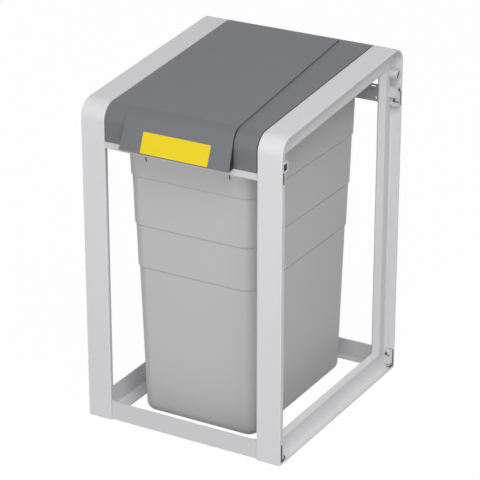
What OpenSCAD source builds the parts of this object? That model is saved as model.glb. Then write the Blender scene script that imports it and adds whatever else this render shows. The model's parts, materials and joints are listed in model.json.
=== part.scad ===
// Waste sorting station: one module for a single bin.
// Two side frames and four crossbars make an open stand. A hinged cover closes the top, a throw-in
// flap lies on the cover, and the bin hangs by its rim between the upper crossbars.
// Inside every module y runs from the front plane of the posts to the rear and x from the middle.

/* [Stand] */
// Width over both side frames
stand_w = 370; // [350:1:450]
// Depth of a side frame
stand_d = 420; // [410:1:480]
// Height of a side frame at the front, measured to the sharp corner
front_h = 565.5; // [560:0.5:620]
// Slope of the top, in degrees
top_slope = 4.97; // [3:0.01:6]
// Outer radius of the upper front corner
front_corner_r = 30; // [20:1:36]
// Outer radius of the upper rear corner
rear_corner_r = 28; // [20:1:34]
// Outer radius of the two corners on the floor
foot_corner_r = 2; // [0.5:0.5:3]

/* [Side frame profile] */
// Width of the outer band
band_w = 44; // [40:1:48]
// Thickness of the outer band
band_t = 4; // [3:0.5:5]
// Distance from the band's inner edge to the web
web_inset = 22; // [20:1:24]
// Thickness of the web where it leaves the band
web_t = 2.9; // [2.4:0.1:3.4]
// Thickness of the web at its ridge
ridge_t = 8.3; // [7:0.1:10]
// Depth of the ridge
ridge_d = 33.7; // [32:0.1:35.5]
// Width of the ridge's crest
crest_w = 0.8; // [0.4:0.1:1.2]
// Thickness of the web at the opening
edge_t = 1.5; // [1.2:0.1:2.4]
// Depth of the front post
front_post_d = 42; // [39:0.5:46]
// Depth of the rear post
rear_post_d = 46.5; // [44:0.5:54]
// Depth of the bottom rail
bottom_rail_d = 41.5; // [38:0.5:46]
// Depth of the top rail
top_rail_d = 43; // [40:0.5:48]
// Corner radius of the opening
opening_r = 3; // [1:0.5:8]
// Radius of the cove along the bottom rail
cove_r = 10; // [6:0.5:12]
// Distance from the front and the rear plane at which the cove ends
cove_end = 24; // [22:1:40]

/* [Crossbars] */
// Sheet thickness of the crossbars
bar_t = 3; // [2:0.5:4]
// Gap between a crossbar and the edge of the band
bar_gap = 0.3; // [0.2:0.1:0.6]
// Width of the flange on a lower crossbar
lower_flange = 16; // [12:1:22]
// Underside of a lower crossbar above the floor
lower_bar_z = 1.5; // [1:0.5:3]
// Height of a lower crossbar
lower_bar_h = 33; // [30:1:36]
// Setback of the lower front crossbar from the front plane
lower_setback = 2.7; // [2:0.1:3.5]
// Drop from the upper front corner to the underside of the upper front crossbar
upper_front_drop = 72.1; // [70:0.1:80]
// Height of the upper front crossbar
upper_front_h = 11.6; // [10:0.1:13]
// Setback of the upper front crossbar from the front plane
upper_setback = 0.6; // [0.4:0.1:1.2]
// Width of the step at each end of a front crossbar
joggle_w = 8; // [6:1:10]
// Width of the ledge that carries the front rim of the bin
front_ledge = 20; // [17:1:24]
// Drop from the upper front corner to the underside of the upper rear crossbar
upper_rear_drop = 71; // [66:0.5:76]
// Height of the upper rear crossbar
upper_rear_h = 30.5; // [28:0.5:34]
// Width of the ledge that carries the rear rim of the bin
rear_ledge = 15; // [12:1:18]
// Half length of the ledge on the upper rear crossbar
rear_ledge_half = 122; // [118:0.5:128]
// Distance of the two holes in the upper rear crossbar from the middle
rear_hole_x = 139; // [132:0.5:140]
// Diameter of these holes
rear_hole_d = 4; // [3:0.5:5]
// Height of these holes above the crossbar's lower edge
rear_hole_up = 6.5; // [5:0.5:10]
// Distance of the two slots in the upper rear crossbar from the middle
rear_slot_x = 129; // [126:0.5:134]
// Length of these slots
rear_slot_l = 10; // [6:0.5:12]
// Height of these slots
rear_slot_h = 2.4; // [2:0.1:3]
// Distance of these slots from the crossbar's upper edge
rear_slot_drop = 4.8; // [3:0.1:6]
// Length of the end tabs along the web
tab_l = 32; // [28:1:36]
// Height of the end tabs of the upper crossbars
upper_tab_h = 22; // [18:1:28]

/* [Screws] */
// Thread diameter of the frame screws
screw_d = 4.8; // [4:0.2:5.2]
// Head diameter of the frame screws
screw_head_d = 9; // [8:0.5:11]
// Head height of the frame screws
screw_head_h = 2.6; // [2:0.2:3.4]
// Radial clearance of a screw in its hole
screw_gap = 0.1; // [0.05:0.05:0.2]
// Depth of the screw hole in the web
screw_bite = 3.6; // [3:0.1:3.8]
// Distance of the screws from the front and the rear plane
screw_inset = 30; // [28:0.5:32]

/* [Cover] */
// Wall of the cover
cover_t = 3; // [2.5:0.5:4]
// Gap between the cover and the side frames
cover_gap = 2; // [0.4:0.1:2.4]
// Gap between the cover and the upper front crossbar
cover_drop_gap = 0.4; // [0.3:0.1:1]
// Depth of the cover's side skirts below its top
skirt_h = 13; // [8:1:20]
// Width of the throw-in opening
throat_w = 144; // [120:1:150]
// Rear end of the throw-in opening
throat_rear = 300; // [240:1:330]
// Height of the cover's front bar below the throw-in opening
front_bar_h = 15; // [12:1:20]

/* [Cover hinge] */
// Diameter of the cover hinge pins
cover_pin_d = 6; // [5:0.5:7]
// Radial running clearance of the hinge pins
pin_play = 0.05; // [0.03:0.01:0.1]
// Wall of the hinge bushes
bush_wall = 1.5; // [1:0.25:2]
// Thickness of the cover's hinge ears
ear_t = 6; // [5:0.5:8]
// Width of a hinge ear around its bush
ear_rim = 3.5; // [3:0.5:5]
// Gap between an ear and its bracket
ear_gap = 0.5; // [0.3:0.1:1]
// Thickness of the bracket plate on the web
bracket_t = 3; // [2:0.5:4]
// Height of the bracket plate
bracket_h = 20; // [18:1:24]
// Length of the bracket plate
bracket_l = 40; // [36:1:46]
// Distance of the nearer bracket screw from the hinge axis
bracket_screw_near = 16; // [15:0.5:18]
// Distance of the farther bracket screw from the hinge axis
bracket_screw_far = 30; // [28:0.5:31]

/* [Flap] */
// Rise of the flap above the cover
flap_rise = 2.5; // [2.2:0.1:4]
// Gap between the flap and the cover
flap_gap = 0.4; // [0.3:0.1:0.8]
// Half width of the flap at the front plane
flap_half_front = 98.3; // [90:0.1:110]
// Half width of the flap at its rear edge
flap_half_rear = 79; // [76:0.1:88]
// Half width of the flap at its lower front edge
flap_half_lip = 101.4; // [92:0.1:114]
// Distance of the flap's rear edge from the front plane
flap_rear = 391.3; // [380:0.1:395]
// Distance of the bend's sharp corner from the front plane
bend_y = 5.6; // [4:0.1:8]
// Outer radius of the bend
bend_r = 25; // [15:1:30]
// Tilt of the front face from the vertical, in degrees
face_tilt = 22.4; // [18:0.1:26]
// Thickness of the front face
face_t = 3; // [2.5:0.1:4]
// Gap between the flap's lower edge and the top of the upper front crossbar
lip_gap = 0.6; // [0.4:0.1:5]
// Thickness of the flap's side walls
flap_wall = 2.2; // [1.6:0.1:3]

/* [Flap hinge] */
// Radius of the barrel along the flap's rear edge
barrel_r = 5.5; // [5:0.1:6.5]
// Gap around the barrel in its trough
barrel_gap = 0.4; // [0.3:0.1:0.8]
// Diameter of the flap hinge pins
flap_pin_d = 3; // [2:0.5:3.5]
// Length of a flap hinge pin in the flap and in the cover
flap_pin_grip = 10; // [8:1:14]
// Wall of the trough under the barrel
trough_wall = 3; // [2:0.5:4]

/* [Label plate] */
// Width of the label plate
label_w = 124; // [100:1:150]
// Height of the label plate along the front face
label_h = 34.6; // [25:0.1:36]
// Thickness of the label plate
label_t = 1.2; // [0.8:0.1:1.8]
// Height of the label plate above the face
label_proud = 0.3; // [0:0.1:0.5]
// Distance of the label plate from the flap's lower edge
label_edge = 1.7; // [1:0.1:4]
// Gap around the label plate
label_gap = 0.2; // [0.1:0.05:0.4]

/* [Flap buffers] */
// Diameter of the flap buffers
buffer_d = 8; // [6:0.5:10]
// Length of the flap buffers
buffer_l = 11; // [8:0.5:11.5]
// Distance of a flap buffer from the middle
buffer_x = 84; // [78:1:88]

/* [Bin] */
// Wall of the bin
bin_wall = 2.5; // [2:0.25:3.5]
// Underside of the bin above the floor
bin_z = 6; // [4:1:20]
// Outer width of the bin at its floor
bin_floor_w = 218; // [206:1:220]
// Outer width of the bin at its rim
bin_mouth_w = 237.6; // [232:0.1:244]
// Front of the bin at its floor
bin_floor_front = 49; // [45:0.5:60]
// Front of the bin at its rim
bin_mouth_front = 23; // [20:0.5:24]
// Rear of the bin at its floor, from the rear plane
bin_floor_rear = 55.5; // [50:0.5:65]
// Rear of the bin at its rim, from the rear plane
bin_mouth_rear = 27; // [26:0.5:34]
// Corner radius of the bin
bin_corner_r = 22; // [15:1:30]
// Radius of the bin's lower edge
bin_base_r = 16; // [8:1:20]
// Width of each step in the bin's wall
bin_step = 1.5; // [0.8:0.1:2]
// Height over which a step rises
bin_step_rise = 1.5; // [1:0.1:3]
// Drop from the front of the rim to the upper step
step_high_drop = 52.7; // [40:0.1:70]
// Drop from the front of the rim to the middle step
step_mid_drop = 139.7; // [120:0.1:160]
// Drop from the front of the rim to the lower step
step_low_drop = 216.7; // [200:0.1:240]
// Thickness of the rim
rim_t = 3.3; // [2.5:0.1:4]
// Width of the rim at the front and the rear
rim_w = 16; // [14:0.5:17]
// Width of the rim at the sides
rim_side = 6; // [4:0.5:8]
// Gap between the rim and its ledges
rim_gap = 0.3; // [0.2:0.1:0.5]
// Distance of the two slits in the bin's front from the middle
slit_x = 77.8; // [60:0.2:90]
// Drop from the front of the rim to the top of the slits
slit_drop = 13; // [8:0.1:20]
// Height of a slit
slit_h = 10; // [6:0.5:14]
// Width of a slit
slit_w = 2.5; // [1.5:0.1:4]

/* [Module connectors] */
// Diameter of the head of a lock pin
lock_head_d = 16.6; // [14:0.2:16.8]
// Length of the head of a lock pin
lock_head_l = 13.3; // [10:0.1:15]
// Diameter of the shank of a lock pin
lock_shank_d = 9; // [7:0.5:10]
// Distance of the lock pins from the rear plane
lock_inset = 14; // [13.5:0.1:15]
// Drop from the cover hinge to the lock pins
lock_drop = 19.5; // [17:0.5:24]
// Length of the slot in a lock pin
lock_slot_l = 11.6; // [8:0.2:14]
// Width of the slot in a lock pin
lock_slot_w = 2.6; // [2:0.1:3.5]
// Depth of the slot in a lock pin
lock_slot_d = 3; // [2:0.5:5]
// Lean of the slot from the upright towards the rear, in degrees
lock_slot_lean = 32; // [0:1:45]
// Gap between a connector and the band
connector_gap = 0.4; // [0.3:0.1:0.8]
// Distance of the clips from the band's outer edge
clip_edge = 0.5; // [0.3:0.1:2]
// Width of the slit between a clip and the band
clip_slit_w = 1.6; // [1:0.1:2.4]
// Depth of that slit
clip_slit_d = 9; // [5:0.5:12]
// Width of the upright part of a hook notch
notch_w = 3.4; // [2.5:0.1:4]
// Height of a hook notch
notch_h = 6.5; // [5:0.5:9]
// Height of the level part of a hook notch
notch_foot_h = 1.8; // [1.2:0.1:2.4]
// Depth of a hook notch
notch_d = 4; // [3:0.5:5]
// Drop from the cover hinge to the top of the upper rear clip
rear_clip_drop = 42; // [38:0.5:48]
// Height of the upper block of that clip
rear_clip_block_h = 18; // [14:0.5:20]
// Depth of the upper block
rear_clip_block_d = 15.6; // [12:0.1:16.4]
// Height of the lower block of that clip
rear_clip_low_h = 17; // [15:0.5:20]
// Depth of the lower block
rear_clip_low_d = 9.6; // [8:0.1:11]
// Distance of the clip's hook notch from the web
rear_notch_x = 8.8; // [6:0.1:10]
// Height of the clip's hook notch above its lower end
rear_notch_up = 7.5; // [5:0.5:8]
// Size of the three-cornered recess in the upper block
recess_size = 9; // [6:0.5:10]
// Depth of that recess
recess_d = 4; // [2:0.5:6]
// Drop from the upper front corner to the top of the upper front clip
front_clip_drop = 37.5; // [35:0.5:44]
// Height of the body of that clip
front_clip_h = 16.5; // [14:0.5:20]
// Depth of its body
front_clip_d = 16.7; // [13:0.1:20]
// Wall around its pocket
front_clip_wall = 2.2; // [1.6:0.1:3]
// Depth of its pocket
front_pocket_d = 8; // [5:0.5:12]
// Length of its tail
front_tail_l = 19; // [14:0.5:22]
// Thickness of its tail
front_tail_t = 5; // [3:0.5:7]
// Distance of its tail from the band
front_tail_gap = 3; // [1:0.5:4]
// Height of the lower clips
low_clip_h = 31; // [24:0.5:34]
// Thickness of the lower clips
low_clip_t = 5.6; // [5:0.1:7]
// Gap under the lower clips
low_clip_gap = 1.2; // [0.6:0.1:2]
// Length of the foot of a lower clip
low_foot_l = 9; // [6:0.5:9.5]
// Height of the foot of a lower clip
low_foot_h = 8; // [7:0.5:10]
// Height of the two slots in the foot
low_slot_h = 1.6; // [1:0.1:2]
// Depth of these slots
low_slot_d = 6; // [4:0.5:8]
// Distance of the hook notch of a lower clip from the web
low_notch_x = 5.5; // [4:0.5:8]
// Height of the hook notch above the foot's underside
low_notch_up = 19; // [14:0.5:20]
// Length of the level part of that notch
low_notch_l = 8; // [6:0.5:10]

/* [Hidden] */

$fn = 64;
// Overlap of solids that are joined, and overshoot of cuts
eps = 0.01;
cut = 1;
// Smallest corner radius of a rounded polygon, and the radius of a corner that is left sharp
least_r = 0.2;
sharp_r = 0.1;
quarter = 90;

frame_grey = [0.83, 0.83, 0.84];
cover_grey = [0.33, 0.34, 0.36];
bin_grey = [0.70, 0.70, 0.71];
label_yellow = [0.93, 0.83, 0.13];
steel = [0.62, 0.63, 0.65];
rubber_black = [0.12, 0.12, 0.13];
bush_white = [0.90, 0.90, 0.88];

// Places along x
band_x = stand_w / 2 - band_w;
web_x = band_x + web_inset;
groove_x = web_x + web_t;
ridge_x = web_x + ridge_t;
edge_x = web_x + edge_t;
cover_half = band_x - cover_gap;
tab_x = web_x - bar_t;

// Places along y
rear_bar_y = stand_d - band_t - bar_t;
hidden_bar_y = band_t + bar_gap;
screw_rear_y = stand_d - screw_inset;

// Top line of the stand and points on it
function top_z(y) = front_h + y * tan(top_slope);
function raised_z(y, rise) = top_z(y) + rise / cos(top_slope);

// Outer side of the web at a depth: it leans outwards from the band to the ridge
function web_out(depth) =
    groove_x + (ridge_x - groove_x) * (depth - band_t / 2) / (ridge_d - band_t / 2);

// Upper crossbars
upper_front_z = front_h - upper_front_drop;
upper_front_top = upper_front_z + upper_front_h;
upper_rear_z = front_h - upper_rear_drop;
upper_rear_top = upper_rear_z + upper_rear_h;
lower_top = lower_bar_z + lower_bar_h;

// Flap hinge axis, flap bend and lower edge of the flap
flap_axis_y = flap_rear - barrel_r;
flap_axis_z = raised_z(flap_axis_y, flap_rise - barrel_r);
bend_z = raised_z(bend_y, flap_rise);
lip_z = upper_front_top + lip_gap;
lip_y = bend_y - (bend_z - lip_z) * tan(face_tilt);

// Trough of the barrel: it clears the flap, which widens to the front, when the flap stands open
trough_r = barrel_r + barrel_gap;
trough_half = flap_half_rear + barrel_gap
    + (flap_half_front - flap_half_rear) * (barrel_r + trough_r) / flap_rear;
centre_y = (stand_d + lip_y) / 2;

// Cover hinge axis, in the centre of the upper rear corner
cover_axis_y = stand_d - rear_corner_r;
cover_axis_z = raised_z(cover_axis_y, -rear_corner_r);
bush_d = cover_pin_d + 2 * pin_play + 2 * bush_wall;
ear_r = bush_d / 2 + ear_rim;
bracket_x = web_x - bracket_t;
cover_bottom_z = upper_front_top + cover_drop_gap;

// Rim of the bin
bin_rear = stand_d - bin_mouth_rear;
rim_front_z = upper_front_z + bar_t + rim_gap;
rim_rear_z = upper_rear_top + rim_gap;
step_heights = [for (drop = [step_low_drop, step_mid_drop, step_high_drop]) rim_front_z - drop];

// Module connectors
lock_y = stand_d - lock_inset;
lock_z = cover_axis_z - lock_drop;
lock_head_x = web_out(lock_inset + lock_head_d / 2) + connector_gap;
clip_out_x = stand_w / 2 - clip_edge;
clip_w = clip_out_x - groove_x;
clip_y = band_t + connector_gap;

// Moves a module from its own front plane to the middle of the station
module placed() {
    translate([0, -centre_y, 0])
        children();
}

module mirrored() {
    mirror([1, 0, 0])
        children();
}

module both_sides() {
    children();
    mirrored()
        children();
}

// A side view, drawn in y and z, drawn out along x
module slab(x, w) {
    translate([x, 0, 0])
        rotate([90, 0, 90])
            linear_extrude(w)
                children();
}

module rod(x, y, z, r, l) {
    translate([x, y, z])
        rotate([0, 90, 0])
            cylinder(r = r, h = l);
}

// Corners of the stand's side view, moved inwards by a depth on each side
function inset_corners(front, rear, bottom, top) = [
    [front, bottom],
    [stand_d - rear, bottom],
    [stand_d - rear, raised_z(stand_d - rear, -top)],
    [front, raised_z(front, -top)]];

function unit(v) = v / norm(v);
function half_angle(a, p, b) = acos(unit(a - p) * unit(b - p)) / 2;

// A convex polygon with one radius for each corner
module rounded(points, radii) {
    n = len(points);
    function before(i) = points[(i + n - 1) % n];
    function after(i) = points[(i + 1) % n];
    function reach(i) = radii[i] / tan(half_angle(before(i), points[i], after(i)));
    polygon([
        for (i = [0 : n - 1])
            for (end = [before(i), after(i)])
                points[i] + unit(end - points[i]) * reach(i)]);
    for (i = [0 : n - 1]) {
        bisector = unit(unit(before(i) - points[i]) + unit(after(i) - points[i]));
        translate(points[i] + bisector * radii[i] / sin(half_angle(before(i), points[i], after(i))))
            circle(r = radii[i]);
    }
}

// The stand's outline at one depth all round
module outline(depth) {
    rounded(inset_corners(depth, depth, depth, depth),
        [for (r = [foot_corner_r, foot_corner_r, rear_corner_r, front_corner_r]) max(r - depth, least_r)]);
}

module frame_opening() {
    rounded(inset_corners(front_post_d, rear_post_d, bottom_rail_d, top_rail_d),
        [for (i = [0 : 3]) opening_r]);
}

// The line of the ridge at one depth all round, with the opening's corners
module ridge_line(depth) {
    rounded(inset_corners(depth, depth, depth, depth), [for (i = [0 : 3]) opening_r]);
}

// Everything inside the band up to the leaning outer side of the web
module web_body() {
    hull() {
        slab(web_x, web_t)
            outline(band_t / 2);
        slab(ridge_x - eps, eps)
            ridge_line(ridge_d);
    }
}

// The opening with the chamfer that runs from the ridge down to its edge
module web_opening() {
    slab(web_x - cut, edge_t + cut + eps)
        frame_opening();
    hull() {
        slab(edge_x, eps)
            frame_opening();
        slab(ridge_x, cut)
            ridge_line(ridge_d + crest_w);
    }
}

// Holes for the crossbar and bracket screws, from the inner side of the web
module web_screw_holes() {
    for (place = screw_places)
        rod(web_x - cut, place[0], place[1], screw_d / 2 + screw_gap, screw_bite + cut);
    for (y = bracket_screw_y)
        rod(web_x - cut, y, cover_axis_z, screw_d / 2 + screw_gap, screw_bite + cut);
}

screw_places = [
    [screw_inset, lower_top - lower_bar_h / 2],
    [screw_rear_y, lower_top - lower_bar_h / 2],
    [screw_inset, upper_front_top - upper_tab_h / 2],
    [screw_rear_y, upper_rear_top - upper_rear_h / 2]];
bracket_screw_y = [cover_axis_y - bracket_screw_far, cover_axis_y - bracket_screw_near];

module side_frame() {
    difference() {
        union() {
            slab(band_x, band_w)
                difference() {
                    outline(0);
                    outline(band_t);
                }
            difference() {
                web_body();
                web_opening();
            }
            translate([groove_x, stand_d - cove_end, band_t - eps])
                rotate([90, 0, 0])
                    linear_extrude(stand_d - 2 * cove_end)
                        difference() {
                            square(cove_r);
                            translate([cove_r, cove_r])
                                circle(r = cove_r);
                        }
        }
        web_screw_holes();
        rod(web_x - cut, lock_y, lock_z, lock_shank_d / 2 + pin_play, ridge_t + 2 * cut);
    }
}

module side_frame_left() {
    color(frame_grey)
        placed()
            mirrored()
                side_frame();
}

module side_frame_right() {
    color(frame_grey)
        placed()
            side_frame();
}

// End tab on the web with its screw hole, for the right end of a crossbar
module end_tab(y, z, h, screw_y, screw_z) {
    difference() {
        translate([tab_x, y, z])
            cube([bar_t, tab_l, h]);
        rod(tab_x - cut, screw_y, screw_z, screw_d / 2 + screw_gap, bar_t + 2 * cut);
    }
}

// Front crossbar: a visible front between the bands, and ends that step back behind the bands
module front_bar(setback, z, h, flange, tab_z, tab_h, screw_z) {
    visible = band_x - bar_gap;
    hidden_z = max(z, band_t + bar_gap);
    translate([-visible, setback, z])
        cube([2 * visible, bar_t, h]);
    translate([-visible, setback, z])
        cube([2 * visible, flange, bar_t]);
    both_sides() {
        translate([visible - joggle_w, setback, z])
            cube([joggle_w, hidden_bar_y + bar_t - setback, h]);
        translate([visible - joggle_w, hidden_bar_y, hidden_z])
            cube([tab_x - visible + joggle_w + eps, bar_t, z + h - hidden_z]);
        end_tab(hidden_bar_y, tab_z, tab_h, screw_inset, screw_z);
    }
}

module lower_front_crossbar() {
    tab_z = band_t + bar_gap;
    color(frame_grey)
        placed()
            front_bar(lower_setback, lower_bar_z, lower_bar_h, lower_flange,
                tab_z, lower_top - tab_z, screw_places[0][1]);
}

module upper_front_crossbar() {
    color(frame_grey)
        placed()
            front_bar(upper_setback, upper_front_z, upper_front_h, front_ledge,
                upper_front_top - upper_tab_h, upper_tab_h, screw_places[2][1]);
}

module lower_rear_crossbar() {
    low_z = band_t + bar_gap;
    inner = band_x - bar_gap;
    color(frame_grey)
        placed() {
            translate([-tab_x - eps, rear_bar_y, low_z])
                cube([2 * (tab_x + eps), bar_t, lower_top - low_z]);
            translate([-inner, rear_bar_y, lower_bar_z])
                cube([2 * inner, bar_t, low_z - lower_bar_z + eps]);
            translate([-inner, rear_bar_y + bar_t - lower_flange, lower_bar_z])
                cube([2 * inner, lower_flange, bar_t]);
            both_sides()
                end_tab(rear_bar_y + bar_t - tab_l, low_z, lower_top - low_z, screw_rear_y,
                    screw_places[1][1]);
        }
}

module upper_rear_crossbar() {
    color(frame_grey)
        placed() {
            difference() {
                translate([-tab_x - eps, rear_bar_y, upper_rear_z])
                    cube([2 * (tab_x + eps), bar_t, upper_rear_h]);
                both_sides() {
                    translate([rear_hole_x, rear_bar_y - cut, upper_rear_z + rear_hole_up])
                        rotate([-90, 0, 0])
                            cylinder(d = rear_hole_d, h = bar_t + 2 * cut);
                    translate([rear_slot_x, rear_bar_y - cut, upper_rear_top - rear_slot_drop])
                        cube([rear_slot_l, bar_t + 2 * cut, rear_slot_h]);
                }
            }
            translate([-rear_ledge_half, rear_bar_y + bar_t - rear_ledge, upper_rear_top - bar_t])
                cube([2 * rear_ledge_half, rear_ledge, bar_t]);
            both_sides()
                end_tab(rear_bar_y + bar_t - tab_l, upper_rear_z, upper_rear_h, screw_rear_y,
                    screw_places[3][1]);
        }
}

// A screw through a plate of the given thickness into the web, pointing outwards
module web_screw(y, z, plate, bite) {
    rod(web_x - plate - screw_head_h, y, z, screw_head_d / 2, screw_head_h);
    rod(web_x - plate - eps, y, z, screw_d / 2, plate + bite + eps);
}

module frame_screws() {
    color(steel)
        placed()
            both_sides()
                for (place = screw_places)
                    web_screw(place[0], place[1], bar_t, screw_bite - screw_gap);
}

module bracket_screws() {
    color(steel)
        placed()
            both_sides()
                for (y = bracket_screw_y)
                    web_screw(y, cover_axis_z, bracket_t, screw_bite - screw_gap);
}

// Plate on the web with the eye that holds the cover's hinge pin
module hinge_bracket() {
    difference() {
        union() {
            translate([bracket_x, cover_axis_y - bracket_l, cover_axis_z - bracket_h / 2])
                cube([bracket_t, bracket_l, bracket_h]);
            rod(bracket_x, cover_axis_y, cover_axis_z, bracket_h / 2, bracket_t);
            rod(cover_half + ear_gap, cover_axis_y, cover_axis_z, ear_r,
                bracket_x - cover_half - ear_gap + eps);
        }
        rod(cover_half, cover_axis_y, cover_axis_z, cover_pin_d / 2, web_x - cover_half + cut);
        for (y = bracket_screw_y)
            rod(bracket_x - cut, y, cover_axis_z, screw_d / 2 + screw_gap, bracket_t + 2 * cut);
    }
}

module hinge_bracket_left() {
    color(steel)
        placed()
            mirrored()
                hinge_bracket();
}

module hinge_bracket_right() {
    color(steel)
        placed()
            hinge_bracket();
}

module cover_hinge_pin() {
    rod(cover_half - ear_t, cover_axis_y, cover_axis_z, cover_pin_d / 2, web_x - cover_half + ear_t);
}

module cover_hinge_pin_left() {
    color(steel)
        placed()
            mirrored()
                cover_hinge_pin();
}

module cover_hinge_pin_right() {
    color(steel)
        placed()
            cover_hinge_pin();
}

module cover_hinge_bush() {
    difference() {
        rod(cover_half - ear_t, cover_axis_y, cover_axis_z, bush_d / 2, ear_t);
        rod(cover_half - ear_t - cut, cover_axis_y, cover_axis_z, cover_pin_d / 2 + pin_play,
            ear_t + 2 * cut);
    }
}

module cover_hinge_bush_left() {
    color(bush_white)
        placed()
            mirrored()
                cover_hinge_bush();
}

module cover_hinge_bush_right() {
    color(bush_white)
        placed()
            cover_hinge_bush();
}

// Side view of the cover between two depths: down to the crossbar in front, to the hinge behind
module cover_section(depth, inner_depth) {
    difference() {
        outline(depth);
        outline(inner_depth);
        translate([-cut, -cut])
            square([cover_axis_y + cut, cover_bottom_z + cut]);
        translate([cover_axis_y - eps, -cut])
            square([stand_d, cover_axis_z + cut]);
    }
}

// Everything above the throw-in opening's lower edge and in front of its rear end
module throat() {
    translate([-throat_w / 2, -cut, cover_bottom_z + front_bar_h])
        cube([throat_w, throat_rear + cut, raised_z(throat_rear, skirt_h) - cover_bottom_z]);
}

// Round trough for the flap's barrel, as wide at the cover's surface as at the axis
module flap_trough() {
    rod(-trough_half, flap_axis_y, flap_axis_z, trough_r, 2 * trough_half);
    translate([-trough_half, flap_axis_y - trough_r, flap_axis_z])
        cube([2 * trough_half, 2 * trough_r, trough_r]);
}

module trough_body() {
    half = trough_half + flap_pin_grip + trough_wall;
    reach = trough_r + trough_wall;
    slab(-half, 2 * half)
        intersection() {
            outline(eps);
            translate([flap_axis_y - reach, flap_axis_z - reach])
                square([2 * reach, stand_d]);
        }
}

module top_cover() {
    color(cover_grey)
        placed()
            difference() {
                union() {
                    difference() {
                        slab(-cover_half, 2 * cover_half)
                            cover_section(0, cover_t);
                        throat();
                    }
                    both_sides()
                        slab(cover_half - cover_t, cover_t)
                            cover_section(cover_t - eps, skirt_h);
                    both_sides()
                        slab(cover_half - ear_t, ear_t)
                            union() {
                                translate([cover_axis_y, cover_axis_z])
                                    circle(r = ear_r);
                                translate([cover_axis_y - ear_r, cover_axis_z])
                                    square([2 * ear_r, rear_corner_r - cover_t / 2]);
                            }
                    trough_body();
                }
                flap_trough();
                rod(-flap_half_rear - flap_pin_grip, flap_axis_y, flap_axis_z, flap_pin_d / 2,
                    2 * (flap_half_rear + flap_pin_grip));
                both_sides()
                    rod(cover_half - ear_t - cut, cover_axis_y, cover_axis_z, bush_d / 2, ear_t + 2 * cut);
            }
}

// Side view of everything under the flap's surface, at a depth below the top and behind the face
module under_flap(top_depth, face_depth, end_y) {
    corner_y = bend_y + (face_depth / cos(face_tilt) - top_depth * tan(face_tilt));
    corner = [corner_y, raised_z(corner_y, flap_rise - top_depth)];
    foot_z = lip_z - face_depth;
    rounded([
        [corner[0] - (corner[1] - foot_z) * tan(face_tilt), foot_z],
        [end_y, foot_z],
        [end_y, raised_z(end_y, flap_rise - top_depth)],
        corner],
        [sharp_r, sharp_r, sharp_r, bend_r - face_depth]);
}

// Plan of the flap, narrower by a wall where asked
module flap_plan(inset) {
    lip = flap_half_lip - inset;
    front = flap_half_front - inset;
    rear = flap_half_rear - inset;
    polygon([[-lip, lip_y - cut], [lip, lip_y - cut], [front, 0], [rear, flap_rear],
        [-rear, flap_rear], [-front, 0]]);
}

module within_flap_plan(inset) {
    intersection() {
        slab(-stand_w / 2, stand_w)
            children();
        linear_extrude(raised_z(flap_rear, skirt_h))
            flap_plan(inset);
    }
}

// Places a piece on the flap's front face: z along the face, y into it
module on_face() {
    translate([0, lip_y, lip_z])
        rotate([-face_tilt, 0, 0])
            children();
}

module flap() {
    color(cover_grey)
        placed()
            difference() {
                union() {
                    within_flap_plan(0)
                        difference() {
                            under_flap(0, 0, flap_axis_y);
                            under_flap(flap_rise - flap_gap, face_t, stand_d);
                        }
                    difference() {
                        within_flap_plan(0)
                            difference() {
                                under_flap(flap_rise - flap_gap - eps, face_t - eps, front_corner_r);
                                outline(-flap_gap - eps);
                                translate([-stand_d / 2, 0])
                                    square([stand_d, lip_z]);
                            }
                        linear_extrude(raised_z(flap_rear, skirt_h))
                            flap_plan(flap_wall);
                    }
                    rod(-flap_half_rear, flap_axis_y, flap_axis_z, barrel_r, 2 * flap_half_rear);
                }
                on_face()
                    translate([-label_w / 2 - label_gap, -cut, label_edge - label_gap])
                        cube([label_w + 2 * label_gap, cut + label_t - label_proud, label_h + 2 * label_gap]);
                both_sides()
                    rod(flap_half_rear - flap_pin_grip, flap_axis_y, flap_axis_z,
                        flap_pin_d / 2 + pin_play, flap_pin_grip + cut);
            }
}

module label_plate() {
    color(label_yellow)
        placed()
            on_face()
                translate([-label_w / 2, -label_proud, label_edge])
                    cube([label_w, label_t, label_h]);
}

module flap_hinge_pin() {
    rod(flap_half_rear - flap_pin_grip + barrel_gap, flap_axis_y, flap_axis_z, flap_pin_d / 2,
        2 * flap_pin_grip - barrel_gap);
}

module flap_hinge_pin_left() {
    color(steel)
        placed()
            mirrored()
                flap_hinge_pin();
}

module flap_hinge_pin_right() {
    color(steel)
        placed()
            flap_hinge_pin();
}

module flap_buffers() {
    color(rubber_black)
        placed()
            both_sides()
                translate([buffer_x, 0, cover_bottom_z + front_bar_h / 2])
                    rotate([90, 0, 0])
                        cylinder(d = buffer_d, h = buffer_l);
}

// Steps round a quarter of a bin corner and over its rounded lower edge
corner_steps = 6;
base_steps = 4;

// Height of the rim's underside: level on both ledges and sloping between them
function rim_z(y) =
    let (share = (y - bin_mouth_front) / (bin_rear - bin_mouth_front))
    rim_front_z + (rim_rear_z - rim_front_z) * min(max(share, 0), 1);

// Plan of the bin as a closed ring of points: half width, front, rear and corner radius
function plan_ring(half, front, rear, r) = [
    for (k = [0 : 3])
        for (i = [0 : corner_steps])
            let (a = quarter * (k - 1 + i / corner_steps))
            [(k < 2 ? half - r : r - half) + r * cos(a),
             (k == 0 || k == 3 ? front + r : rear - r) + r * sin(a)]];

function level(points, z) = [for (p = points) [p[0], p[1], z]];
function on_rim(points, rise) = [for (p = points) [p[0], p[1], rim_z(p[1]) + rise]];

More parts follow.
